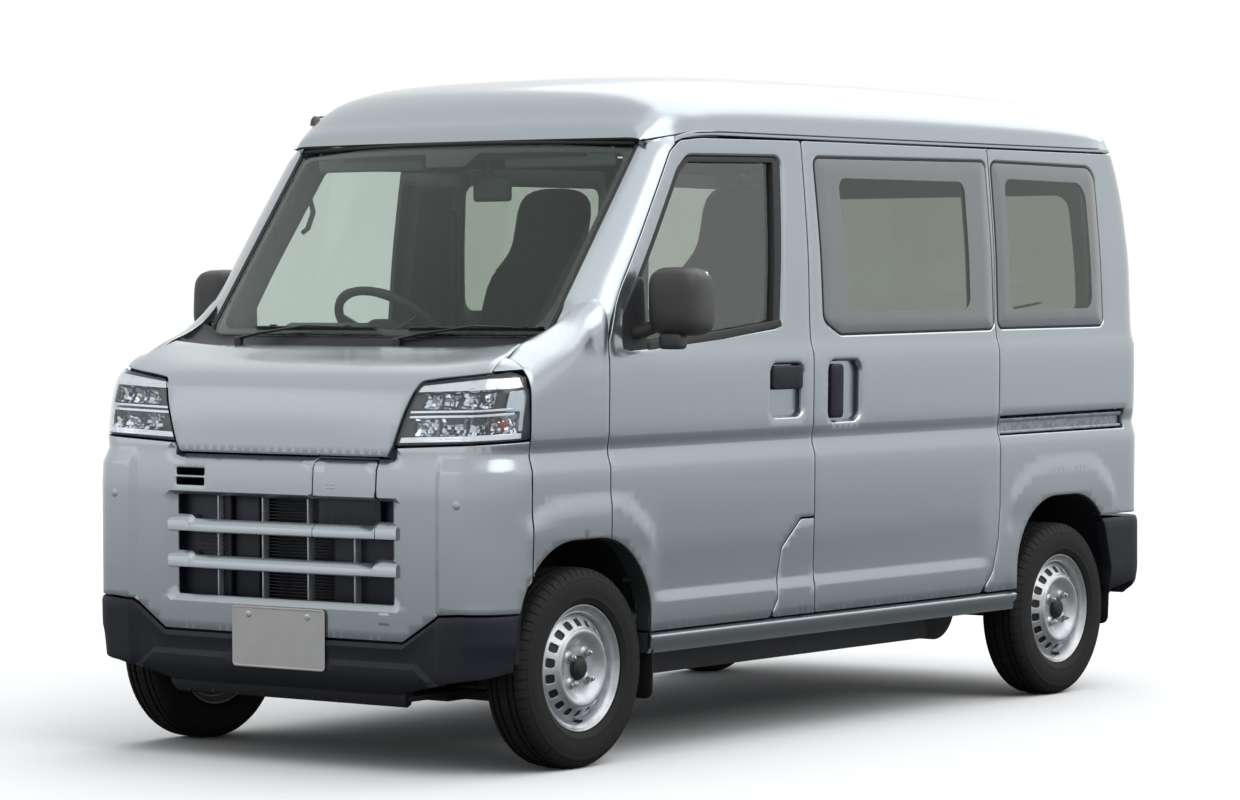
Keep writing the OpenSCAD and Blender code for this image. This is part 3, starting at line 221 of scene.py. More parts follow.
# ---------------------------------------------------------------- mesh helpers
def add_mesh(name, verts, faces, materials, body, slot, marks=None, stands_for=(), sharp=32, turn=True):
    """Makes a piece from points in millimetres and lets it ride on a body."""
    mesh = bpy.data.meshes.new(name)
    points = np.asarray(verts, float).reshape(-1, 3) / 1000
    mesh.from_pydata(points.tolist(), [], [list(f) for f in faces])
    for material in materials:
        mesh.materials.append(material)
    if marks is not None:
        mesh.polygons.foreach_set("material_index", np.asarray(marks, np.int32))
    build = bmesh.new()
    build.from_mesh(mesh)
    bmesh.ops.remove_doubles(build, verts=build.verts, dist=2e-5)
    bmesh.ops.dissolve_degenerate(build, dist=1e-6, edges=build.edges)
    if turn:
        bmesh.ops.recalc_face_normals(build, faces=build.faces)
    build.to_mesh(mesh)
    build.free()
    mesh.shade_smooth()
    mesh.set_sharp_from_angle(angle=math.radians(sharp))
    piece = bpy.data.objects.new(name, mesh)
    bpy.context.scene.collection.objects.link(piece)
    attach(piece, body)
    if stands_for:
        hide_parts(*stands_for)
    return piece


class Shape:
    """Points and faces gathered for one piece, each face with the number of its material."""

    def __init__(self):
        self.verts, self.faces, self.marks, self.count = [], [], [], 0

    def add(self, verts, faces, mark=0):
        verts = np.asarray(verts, float).reshape(-1, 3)
        self.verts.append(verts)
        self.faces += [[i + self.count for i in f] for f in faces]
        self.marks += [mark] * len(faces) if np.isscalar(mark) else list(mark)
        self.count += len(verts)
        return self

    def make(self, name, materials, body, slot, mirror=False, **more):
        verts = np.concatenate(self.verts)
        if mirror:
            verts = verts * (-1, 1, 1)
        return add_mesh(name, verts, self.faces, materials, body, slot, marks=self.marks, **more)


def profile(table):
    """A smooth curve that keeps rising or falling as its (place, value) pairs do."""
    x, y = np.array(table, float).T
    h = np.diff(x)
    slope = np.diff(y) / h
    m = np.zeros(len(x))
    m[0], m[-1] = slope[0], slope[-1]
    for i in range(1, len(x) - 1):
        if slope[i - 1] * slope[i] > 0:
            w1, w2 = 2 * h[i] + h[i - 1], h[i] + 2 * h[i - 1]
            m[i] = (w1 + w2) / (w1 / slope[i - 1] + w2 / slope[i])

    def value(at):
        at = np.clip(np.asarray(at, float), x[0], x[-1])
        k = np.clip(np.searchsorted(x, at, side="right") - 1, 0, len(h) - 1)
        t = (at - x[k]) / h[k]
        return (
            (1 + 2 * t) * (1 - t) ** 2 * y[k]
            + t * (1 - t) ** 2 * h[k] * m[k]
            + t * t * (3 - 2 * t) * y[k + 1]
            + t * t * (t - 1) * h[k] * m[k + 1]
        )

    return value


def straight(table):
    """Straight lines between (place, value) pairs."""
    x, y = np.array(table, float).T
    return lambda at: np.interp(at, x, y)


def ease(at, low, high):
    """Rises smoothly from 0 at low to 1 at high."""
    t = np.clip((np.asarray(at, float) - low) / (high - low), 0, 1)
    return t * t * (3 - 2 * t)


def bent(value, power):
    """A power that keeps the sign, which squares up a circle's sine and cosine."""
    return math.copysign(abs(value) ** power, value)


def around(count):
    """Evenly spread angles of a full turn."""
    return np.linspace(0, 2 * math.pi, count + 1)[:-1]


def loop(points, step=15.0, radius=0.0):
    """A closed outline through corner points (u, v) or (u, v, radius), with round corners and short edges."""
    corners = []
    n = len(points)
    for i, p in enumerate(points):
        r = p[2] if len(p) > 2 else radius
        here, before, after = (np.array(points[k % n][:2], float) for k in (i, i - 1, i + 1))
        a, b = before - here, after - here
        la, lb = np.hypot(*a), np.hypot(*b)
        a, b = a / la, b / lb
        angle = math.acos(np.clip(a @ b, -1, 1))
        if r < 0.5 or angle > 3.05:
            corners.append(here)
            continue
        cut = min(r / math.tan(angle / 2), 0.48 * la, 0.48 * lb)
        r = cut * math.tan(angle / 2)
        middle = here + (a + b) / np.hypot(*(a + b)) * r / math.sin(angle / 2)
        start, end = here + a * cut - middle, here + b * cut - middle
        sweep = math.pi - angle
        count = max(2, min(12, int(sweep * r / 4) + 2))
        side = np.sign(start[0] * end[1] - start[1] * end[0])
        for k in range(count + 1):
            t = side * sweep * k / count
            c, s = math.cos(t), math.sin(t)
            corners.append(middle + (start[0] * c - start[1] * s, start[0] * s + start[1] * c))
    out = []
    for i, p in enumerate(corners):
        q = corners[(i + 1) % len(corners)]
        cuts = max(1, int(round(np.hypot(*(q - p)) / step)))
        out += [p + (q - p) * k / cuts for k in range(cuts)]
    return np.array(out)


def turned(points, anticlockwise=True):
    """The loop, reversed if it runs the other way round."""
    x, y = points.T
    area = (x * np.roll(y, -1) - y * np.roll(x, -1)).sum()
    return points if (area > 0) == anticlockwise else points[::-1]


def inset(points, distance):
    """The loop moved to its left by a distance."""
    if abs(distance) < 1e-9:
        return points
    edge = np.roll(points, -1, 0) - points
    edge /= np.maximum(np.hypot(*edge.T)[:, None], 1e-9)
    left = np.stack([-edge[:, 1], edge[:, 0]], 1)
    both = left + np.roll(left, 1, 0)
    both /= np.maximum((both**2).sum(1)[:, None], 0.35)
    return points + both * 2 * distance


def inside(points, outline):
    """Which of the points lie within the outline."""
    x, y = points.T
    hit = np.zeros(len(points), bool)
    for (x0, y0), (x1, y1) in zip(outline, np.roll(outline, -1, 0)):
        if y0 != y1:
            hit ^= ((y0 > y) != (y1 > y)) & (x < (x1 - x0) * (y - y0) / (y1 - y0) + x0)
    return hit


def spaced(low, high, step, marks=()):
    """Places from low to high no further apart than step, with the marks among them."""
    stops = [low] + sorted(m for m in marks if low < m < high) + [high]
    out = [low]
    for a, b in zip(stops, stops[1:]):
        cuts = max(1, int(math.ceil((b - a) / step)))
        out += [a + (b - a) * k / cuts for k in range(1, cuts + 1)]
    return out


def rolled(radius, depth, inner=0.0):
    """Rim of a panel: a rolled edge and the wall behind it, as (distance in from the loop, depth)."""
    turns = [(radius * (1 - math.sin(a)), radius * (1 - math.cos(a))) for a in (0, 0.52, 1.05, math.pi / 2)]
    return turns + [(inner, depth)]


def panel(shape, skin, outline, holes=(), rim=None, step=(30, 30), rows=(), columns=(), lines=(),
    marks=(0, 0), back=True):
    """Adds a panel: a face on the skin with rolled edges, walls and a back.

    holes are loops, or (loop, rim) pairs; lines are open lines kept as edges of the face;
    rows and columns are places where its grid has a line; marks are the materials of the
    front and of the back.
    """
    rim = rim or rolled(2.5, PANEL_T)
    loops = [(turned(outline), rim)]
    for hole in holes:
        hole = hole if isinstance(hole, tuple) else (hole, rim)
        loops.append((turned(hole[0], False), hole[1]))
    points, edges, owner = [], [], []
    for ring, its_rim in loops:
        start = len(points)
        points += list(inset(ring, its_rim[0][0]))
        n = len(ring)
        edges += [(start + i, start + (i + 1) % n) for i in range(n)]
        owner.append((start, n))
    bounds = np.array(points)
    outer = bounds[: owner[0][1]]
    cut = [bounds[s : s + n] for s, n in owner[1:]]
    for line in lines:
        keep = []
        dense = []
        for a, b in zip(line, line[1:]):
            count = max(1, int(np.hypot(b[0] - a[0], b[1] - a[1]) / 14))
            dense += [(a[0] + (b[0] - a[0]) * k / count, a[1] + (b[1] - a[1]) * k / count)
                for k in range(count)]
        dense.append(line[-1])
        dense = np.array(dense, float)
        ok = inside(dense, outer)
        for c in cut:
            ok &= ~inside(dense, c)
        ok &= near(dense, bounds) > 3.0
        for i, p in enumerate(dense):
            if ok[i]:
                points.append(p)
                if keep and keep[-1] == i - 1:
                    edges.append((len(points) - 2, len(points) - 1))
                keep.append(i)
    low, high = outer.min(0), outer.max(0)
    us, vs = spaced(low[0], high[0], step[0], columns), spaced(low[1], high[1], step[1], rows)
    grid = np.array([(u, v) for u in us for v in vs])
    grid = grid[inside(grid, outer)]
    for c in cut:
        grid = grid[~inside(grid, c)]
    grid = grid[near(grid, bounds) > 4.0]
    if lines:
        kept = np.array(points[len(bounds) :])
        if len(kept):
            grid = grid[near(grid, kept) > 5.0]
    points += list(grid)
    made = delaunay_2d_cdt([Vector(p) for p in points], edges, [], 0, 1e-5)
    flat = np.array([(p.x, p.y) for p in made[0]])
    place = {}
    for new, old in enumerate(made[3]):
        for o in old:
            place[o] = new
    tris = list(made[2])
    middle = np.array([flat[list(f)].mean(0) for f in tris])
    ok = inside(middle, outer)
    for c in cut:
        ok &= ~inside(middle, c)
    # Slivers along a straight edge would only spoil the shading
    a, b, c = (flat[[f[k] for f in tris]] for k in range(3))
    ok &= np.abs((b - a)[:, 0] * (c - a)[:, 1] - (b - a)[:, 1] * (c - a)[:, 0]) > 0.05
    tris = [f for f, k in zip(tris, ok) if k]
    front = skin(flat[:, 0], flat[:, 1], np.zeros(len(flat)))
    base = shape.count
    shape.add(front, tris, marks[0])
    rings_last = {}
    for (start, n), (ring, its_rim) in zip(owner, loops):
        before = [place[start + i] for i in range(n)]
        offset = base
        for k, (move, depth) in enumerate(its_rim[1:]):
            moved = inset(ring, move)
            there = shape.count
            mark = marks[1] if k == len(its_rim) - 2 else marks[0]
            shape.add(skin(moved[:, 0], moved[:, 1], np.full(n, float(depth))), [])
            now = list(range(there, there + n))
            for i in range(n):
                j = (i + 1) % n
                shape.faces.append([before[i] + offset, before[j] + offset, now[j], now[i]])
                shape.marks.append(mark)
            before, offset = now, 0
        for i in range(n):
            rings_last[place[start + i]] = before[i]
    if back:
        depth = rim[-1][1]
        there = shape.count
        shape.add(skin(flat[:, 0], flat[:, 1], np.full(len(flat), float(depth))), [])
        shape.faces += [[rings_last.get(i, i + there) for i in reversed(f)] for f in tris]
        shape.marks += [marks[1]] * len(tris)
    return shape


def panel_piece(name, skin, outline, materials, body, slot, mirror=False, stands_for=(), sharp=32, **how):
    """A piece that is a single panel."""
    shape = panel(Shape(), skin, outline, **how)
    return shape.make(name, materials, body, slot, mirror, stands_for=stands_for, sharp=sharp)


def near(points, others):
    """Distance from each point to the nearest of the others."""
    if not len(points) or not len(others):
        return np.full(len(points), 1e9)
    tree = KDTree(len(others))
    for i, p in enumerate(others):
        tree.insert((p[0], p[1], 0), i)
    tree.balance()
    return np.array([tree.find((p[0], p[1], 0))[2] for p in points])


def lofted(shape, rings, closed=True, caps=True, mark=0):
    """Joins rings of equally many points into a surface."""
    rings = np.asarray(rings, float)
    m, n = rings.shape[:2]
    faces = []
    for k in range(m - 1):
        for i in range(n if closed else n - 1):
            j = (i + 1) % n
            faces.append([k * n + i, k * n + j, (k + 1) * n + j, (k + 1) * n + i])
    if caps:
        faces += [list(range(n))[::-1], [(m - 1) * n + i for i in range(n)]]
    return shape.add(rings.reshape(-1, 3), faces, mark)


def tube(shape, path, radius, sides=8, mark=0, flat=1.0):
    """A round bar along a path; radius may be a list."""
    path = np.asarray(path, float)
    radius = np.broadcast_to(radius, len(path))
    ahead = np.gradient(path, axis=0)
    ahead /= np.maximum(np.linalg.norm(ahead, axis=1)[:, None], 1e-9)
    up = np.array([0, 0, 1.0]) if abs(ahead[0][2]) < 0.9 else np.array([0, 1.0, 0])
    rings = []
    for p, d, r in zip(path, ahead, radius):
        a = np.cross(d, up)
        a /= np.linalg.norm(a)
        b = np.cross(a, d)
        up = b
        t = np.arange(sides) * 2 * math.pi / sides
        rings.append(p + r * (np.cos(t)[:, None] * a + flat * np.sin(t)[:, None] * b))
    return lofted(shape, rings, mark=mark)


def rounded_box(shape, low, high, radius=4.0, mark=0, turn=None, about=None):
    """A box with rounded edges, turned about a point by a matrix."""
    build = bmesh.new()
    bmesh.ops.create_cube(build, size=1.0)
    low, high = np.array(low, float), np.array(high, float)
    for v in build.verts:
        v.co = Vector((low + high) / 2 + np.array(v.co) * (high - low))
    bmesh.ops.bevel(build, geom=list(build.edges), offset=min(radius, 0.45 * (high - low).min()), segments=3,
        affect="EDGES", profile=0.5)
    points = np.array([v.co for v in build.verts])
    if turn is not None:
        about = np.array(about if about is not None else (low + high) / 2, float)
        points = (points - about) @ np.array(turn).T + about
    build.verts.index_update()
    shape.add(points, [[v.index for v in f.verts] for f in build.faces], mark)
    build.free()
    return shape


def turn_about(axis, degrees):
    return np.array(Matrix.Rotation(math.radians(degrees), 3, axis))


def spun(shape, section, centre, side=1, steps=96, mark=0, closed=False):
    """A section of (distance along the axle, radius) turned about the X axis through a centre."""
    section = np.array(section, float)
    t = np.arange(steps) * 2 * math.pi / steps
    rings = np.zeros((steps, len(section), 3))
    rings[..., 0] = centre[0] + side * section[:, 0]
    rings[..., 1] = centre[1] + np.outer(np.sin(t), section[:, 1])
    rings[..., 2] = centre[2] + np.outer(np.cos(t), section[:, 1])
    n = len(section)
    faces = []
    for k in range(steps):
        m = (k + 1) % steps
        for i in range(n if closed else n - 1):
            j = (i + 1) % n
            faces.append([k * n + i, k * n + j, m * n + j, m * n + i])
    return shape.add(rings.reshape(-1, 3), faces, mark)


# ---------------------------------------------------------------- the body's skins
side_base = profile([(150, -26), (285, -15), (300, -13), (325, -9), (341, -5), (345, -3), (424, -1.5),
        (605, -1.5), (700, -0.8), (786, 0), (799, -0.6), (838, -11), (846, -11.6), (882, -5.2), (950, -3.4),
        (1040, -2.2), (1086, -3), (1096, -5), (1124, -14), (1148, -16), (1361, -22), (1525, -33),
        (1650, -44), (1712, -50), (1800, -56)])
low_crease = profile([(300, 0), (424, 0), (428, -0.3), (455, -6), (500, -5), (600, -1.5), (700, 0)])
nose_form = profile([(150, 40), (200, 24), (262, 2), (430, 0), (727, -1), (833, 5), (948, 11), (1010, 25),
        (1045, 48), (1072, 95), (1100, 188), (1125, 272), (1140, 330)])
nose_edge_bow = profile([(150, 16), (430, 17), (850, 20), (1040, 34), (1140, 34)])
# Radius of the nose's corner across, the path round it and its depth
NOSE_R, CORNER = 105.0, 195.1
CORNER_DEEP = NOSE_R * 1.35
# Corner blocks: inner edge, top, how far they stand out, and the widths of their two slopes
BLOCK_S, BLOCK_TOP, BLOCK_OUT, BLOCK_SLOPE, BLOCK_ROOF = 533, 799, 13, 22, 41
# Grille frame: half width, lower and upper edge, depth, and the width of its side slopes
FRAME_S, FRAME_LOW, FRAME_TOP, FRAME_DEEP, FRAME_SLOPE = 420, 427, 728, 14, 36
# Heights at which the side's creases begin, bend and end
BELT_ROWS = (786, 795, 799, 803, 820, 834, 838, 843, 847, 864, 878, 884)
LOW_ROWS = (420, 424, 428, 441, 451, 455, 460)

# Outer edges of the wheel-arch flares
front_flare_top = [(-1614, 590), (-1612, 621), (-1506, 695), (-1439, 719), (-1295, 730), (-1126, 727),
    (-1076, 704), (-983, 627), (-978, 590)]
rear_flare_top = [(835, 560), (837, 650), (951, 724), (1067, 746), (1303, 746), (1370, 731), (1478, 648),
    (1482, 560)]


def band(points, radius=60):
    """A polyline with its bends rounded."""
    out = [np.array(points[0], float)]
    for a, b, c in zip(points, points[1:], points[2:]):
        a, b, c = (np.array(p, float) for p in (a, b, c))
        cut_a = min(radius, 0.45 * np.hypot(*(a - b)))
        cut_c = min(radius, 0.45 * np.hypot(*(c - b)))
        p, q = b + (a - b) / np.hypot(*(a - b)) * cut_a, b + (c - b) / np.hypot(*(c - b)) * cut_c
        out += [(1 - t) ** 2 * p + 2 * t * (1 - t) * b + t * t * q for t in np.linspace(0, 1, 6)]
    return np.array(out + [np.array(points[-1], float)])


flare_bands = [band(front_flare_top), band(rear_flare_top)]
# Width of a flare's slope and its height
FLARE_W, FLARE_H = 32.0, 5.4


def line_distance(u, v, line):
    """Distance from points to a polyline."""
    best = np.full(np.shape(u), 1e9)
    for (x0, y0), (x1, y1) in zip(line, line[1:]):
        dx, dy = x1 - x0, y1 - y0
        t = np.clip(((u - x0) * dx + (v - y0) * dy) / max(dx * dx + dy * dy, 1e-9), 0, 1)
        best = np.minimum(best, np.hypot(u - x0 - t * dx, v - y0 - t * dy))
    return best


def flare(y, z):
    """How far the wheel-arch flares stand out."""
    out = np.zeros(np.shape(y))
    for line in flare_bands:
        shut = np.vstack([line, [(line[-1][0], 200), (line[0][0], 200)]])
        within = inside(np.stack([np.ravel(y), np.ravel(z)], 1), shut).reshape(np.shape(y))
        rise = np.clip(line_distance(y, z, line) / FLARE_W, 0, 1)
        out = np.maximum(out, np.where(within, rise * FLARE_H * (0.45 + 0.55 * ease(z, 540, 650)), 0))
    return out


def side_reach(y, z):
    """Half width of the body at a place on its side."""
    fade = ease(y, -1000, -930) * (1 - ease(y, 640, 730))
    # The ledge under the windows fades out before the pillar's foot
    full = 12 * np.clip((z - 1086) / 62, 0, 1) * (1 - ease(y, -1178, -1096))
    return SKIN_X + side_base(z) + full + low_crease(z) * fade + flare(y, z)


def nose_ring(s, z):
    """A point of the nose at path s from the middle, round the corner and along the side."""
    s, z = np.broadcast_arrays(np.asarray(s, float), np.asarray(z, float))
    sign, s = np.sign(s) + (s == 0), np.abs(s)
    reach = SKIN_X + side_base(z)
    flat = reach - NOSE_R
    bow = nose_edge_bow(z)
    lead = FACE_Y + nose_form(z)
    under_roof = 1 - np.clip((z - BLOCK_TOP) / BLOCK_ROOF, 0, 1)
    block = np.clip((s - BLOCK_S) / BLOCK_SLOPE, 0, 1) * under_roof * BLOCK_OUT
    lead = lead - block * (1 - ease(s, flat, flat + CORNER))
    lip = np.clip(np.minimum((295 - z) / 15, (466 - s + 1.32 * (297 - z)) / 24), 0, 1)
    lead = lead - 8 * lip * (1 - 0.4 * (1 - ease(s, 170, 178)))
    beside, below, above = (FRAME_S - s) / FRAME_SLOPE, (z - FRAME_LOW) / 20, (FRAME_TOP - z) / 12
    lead = lead + FRAME_DEEP * np.clip(np.minimum(np.minimum(beside, below), above), 0, 1)
    a = np.clip((s - flat) / CORNER, 0, 1) * math.pi / 2
    x = np.where(s < flat, s, flat + NOSE_R * np.sin(a))
    y = lead + bow * np.minimum(s / flat, 1) ** 2.6 + CORNER_DEEP * (1 - np.cos(a))
    y = y + np.maximum(s - flat - CORNER, 0)
    past = s > flat + CORNER
    x = np.where(past, x + flare(y, z), x)
    return np.stack([sign * x, y, z], -1)


def side_start(z):
    """Path and y at which the nose's corner has become the side."""
    return SKIN_X + side_base(z) - NOSE_R + CORNER, FACE_Y + nose_form(z) + nose_edge_bow(z) + CORNER_DEEP


def s_at_y(y, z):
    """Path on the nose at which it reaches a place y on the side."""
    s, start = side_start(z)
    back = np.clip(1 - (y - (start - CORNER_DEEP)) / CORNER_DEEP, 0, 1)
    turn = np.arccos(back) / (math.pi / 2)
    return float(np.where(y > start, s + y - start, s - CORNER + turn * CORNER))


def s_at_x(x, z):
    """Path on the nose at which it reaches a half width x."""
    flat = SKIN_X + side_base(z) - NOSE_R
    turn = np.arcsin(np.clip((abs(x) - flat) / NOSE_R, 0, 1)) / (math.pi / 2)
    return float(np.sign(x) * (abs(x) if abs(x) < flat else flat + turn * CORNER))


def with_depth(base, outward):
    """Makes a skin of (u, v, depth) from a surface, depth measured square to it."""

    def skin(u, v, depth):
        u, v = np.asarray(u, float), np.asarray(v, float)
        here = base(u, v)
        if np.all(np.asarray(depth) == 0):
            return here
        du = base(u + 0.6, v) - base(u - 0.6, v)
        dv = base(u, v + 0.6) - base(u, v - 0.6)
        normal = np.cross(du, dv)
        normal /= np.maximum(np.linalg.norm(normal, axis=-1)[..., None], 1e-9)
        way = np.sign((normal * outward(here)).sum(-1))
        return here - (normal.T * way * np.asarray(depth, float)).T

    return skin


def facing(*way):
    """An outward direction that is the same all over a skin."""
    return lambda points: np.broadcast_to(way, points.shape)


def away_from(y):
    """Outward directions that spread from an upright line inside the body."""
    return lambda points: points * (1, 1, 0) - (0, y, 0)


def side_surface(y, z):
    return np.stack([side_reach(y, z), y, z], -1)


side_skin = with_depth(side_surface, facing(1.0, 0, 0))
nose_skin = with_depth(nose_ring, away_from(-900))


def deeper(skin, more):
    """The skin moved inward."""
    return lambda u, v, depth: skin(u, v, np.asarray(depth, float) + more)


# Hood: x across it and the path up its middle line
HOOD_HALF = 627.0
hood_z = np.linspace(800, 1124.5, 500)
hood_y = FACE_Y + nose_form(hood_z)
hood_path = np.concatenate([[0], np.cumsum(np.hypot(np.diff(hood_z), np.diff(hood_y)))])


def hood_surface(x, t):
    y, z = np.interp(t, hood_path, hood_y), np.interp(t, hood_path, hood_z)
    side = np.abs(x) / HOOD_HALF
    raised = 21 * np.clip((np.abs(x) - 400) / 224, 0, 1.2) ** 1.6 * ease(z, 1050, 1118)
    sunk = 2.5 * (1 - side**2) * ease(z, 1040, 1100) * (1 - ease(z, 1104, 1122))
    z = z + raised - sunk
    return np.stack([x, y + nose_edge_bow(z) * side**2.6, z], -1)


hood_skin = with_depth(hood_surface, facing(0, -1.0, 1.0))


def path_at_z(z):
    """Path up the hood's middle line to a height."""
    return float(np.interp(z, hood_z, hood_path))


def path_at_y(x, y):
    """Path up the hood to a place (x, y) near its rear edge."""
    lead = y - nose_edge_bow(1100) * (abs(x) / HOOD_HALF) ** 2.6
    return float(np.interp(lead, hood_y[hood_y.argmin() :], hood_path[hood_y.argmin() :]))


# Fender: y and the path up the side, then over its shoulder
shoulder_low = profile([(-1560, 985), (-1480, 1010), (-1433, 1030), (-1330, 1085), (-1240, 1140),
        (-1175, 1175)])
shoulder_x = profile([(-1581, 653), (-1500, 640), (-1433, 627), (-1380, 627), (-1300, 634), (-1240, 644),
        (-1175, 664)])
shoulder_z = profile([(-1581, 1061), (-1500, 1097), (-1433, 1133), (-1380, 1150), (-1300, 1182),
        (-1240, 1220), (-1175, 1262)])


def fender_surface(y, t):
    """t is the height up to the shoulder, and runs on to 1200 over it to its top edge."""
    low = shoulder_low(y)
    z_side = np.where(t < 900, t, 900 + (t - 900) * (low - 900) / 100)
    side_x = nose_at_side(y, np.minimum(z_side, low))
    u = np.clip((t - 1000) / 200, 0, 1.02) * math.pi / 2
    foot = nose_at_side(y, low)
    over_x = foot - (foot - shoulder_x(y)) * (1 - np.cos(u))
    over_z = low + (shoulder_z(y) - low) * np.sin(u)
    return np.stack([np.where(t < 1000, side_x, over_x), y, np.where(t < 1000, z_side, over_z)], -1)


def nose_at_side(y, z):
    """Half width at a place near the nose, round its corner too."""
    start = FACE_Y + nose_form(z) + nose_edge_bow(z) + CORNER_DEEP
    c = np.clip((start - y) / CORNER_DEEP, 0, 1)
    return side_reach(y, z) - NOSE_R * (1 - np.sqrt(1 - c * c))


fender_skin = with_depth(fender_surface, facing(1.0, 0, 0.6))


# ---------------------------------------------------------------- outlines along the side
ARCH_R, ARCH_HALF = 230.0, 283.0
FRONT_ARCH, REAR_ARCH = 610.0, 623.0


def arch_line(axle, top, grow=0.0, foot=345.0):
    """The wheel-arch edge from its front foot over to its rear foot."""
    c, r = top - ARCH_R, ARCH_R + grow
    out = [(axle - ARCH_HALF - grow, foot)]
    out += [(axle - (ARCH_HALF - ARCH_R) - r * math.cos(a), c + r * math.sin(a))
        for a in np.linspace(0, math.pi / 2, 13)]
    out += [(axle + (ARCH_HALF - ARCH_R) + r * math.sin(a), c + r * math.cos(a))
        for a in np.linspace(0, math.pi / 2, 13)]
    return out + [(axle + ARCH_HALF + grow, foot)]


def over_arch(axle, top, y_from, y_to, foot=345.0):
    """The part of the arch between two places, with exact ends."""
    line = np.array(arch_line(axle, top, 0, foot))
    ys = line[:, 0] + np.arange(len(line)) * 1e-6
    keep = [tuple(p) for p in line if y_from < p[0] < y_to]
    ends = [(y, foot if abs(y - axle) > ARCH_HALF - 0.01 else float(np.interp(y, ys, line[:, 1])))
        for y in (y_from, y_to)]
    return [ends[0]] + keep + [ends[1]]


front_door_line = loop([(DOOR_Y, 1140), (DOOR_Y + 40, 1237, 30), (-850, 1652, 40), (-800, 1684, 60),
        (-700, 1693), (B_Y, DOOR_TOP, 14), (B_Y, 620, 10), (-283, 620, 22), (-378, 540, 40), (-400, 440, 30),
        (-402, 396, 20), (-440, DOOR_LOW, 16)] + over_arch(FRONT_AXLE, FRONT_ARCH, DOOR_Y,
        FRONT_AXLE + ARCH_HALF)[::-1], 16)
sliding_line = loop([(B_Y, DOOR_LOW, 14), (B_Y, DOOR_TOP, 14), (SLIDE_Y, DOOR_TOP, 14), (SLIDE_Y, 600, 60),
        (SLIDE_Y - 12, 500, 60), (SLIDE_Y - 45, 405, 60), (SLIDE_Y - 112, DOOR_LOW, 20)], 16)
door_window = loop([(-1105, 1112, 24), (-1096, 1205, 40), (-822, 1600, 90), (-770, 1640, 60),
        (-322, 1646, 30), (-362, 1166, 30), (-640, 1142)], 14)
sliding_window = loop([(-158, 1648, 26), (SLIDE_Y - 18, 1656, 26), (SLIDE_Y - 8, 1146, 26), (-60, 1140, 60),
        (-142, 1180, 40)], 16)
quarter_window = loop([(SLIDE_Y + 14, 1656, 26), (SLIDE_Y + 14, 1148, 26), (1430, 1150, 26),
        (1414, 1650, 60)], 16)
handle_pocket = loop([(-428, 912), (-428, 1058), (-270, 1058), (-270, 912)], 10, 26)
slide_pocket = loop([(-138, 892), (-138, 1063), (24, 1063), (24, 892)], 10, 30)
SIDE_ROWS = BELT_ROWS + LOW_ROWS + (1040, 1070, 1086, 1096, 1110, 1124, 1136, 1148)
flare_lines = [list(map(tuple, b)) for b in flare_bands]


def parallel(line, distance):
    """The open line moved to its right by a distance."""
    line = np.array(line, float)
    ahead = np.gradient(line, axis=0)
    ahead /= np.hypot(*ahead.T)[:, None]
    return [tuple(p) for p in line + np.stack([ahead[:, 1], -ahead[:, 0]], 1) * distance]


flare_lines += [parallel(line, FLARE_W) for line in flare_lines]
door_rim = rolled(2.5, 14.0) + [(0, DOOR_T)]
window_rim = [(9, 0), (7.5, 0.4), (3, 3), (1, 6.5), (0, 12), (0, DOOR_T)]
pocket_rim = [(9, 0), (7, 0.6), (2.5, 5), (0, 14), (0, DOOR_T)]


def shut(outline, gap=GAP - 1):
    """The outline of a panel that leaves its half of the gap free."""
    return inset(turned(outline), gap / 2)


def ring_of(outline, width, low=0.0):
    """A frame along an outline: the outer loop moved in by low, and the hole."""
    outline = turned(outline)
    return inset(outline, low), inset(outline, low + width)


# ---------------------------------------------------------------- doors and sides
def pocket_floor(shape, outline):
    """Closes a handle's pocket at its depth."""
    panel(shape, deeper(side_skin, 22), inset(turned(outline), -0.3), rim=[(0, 0), (0, 30)])


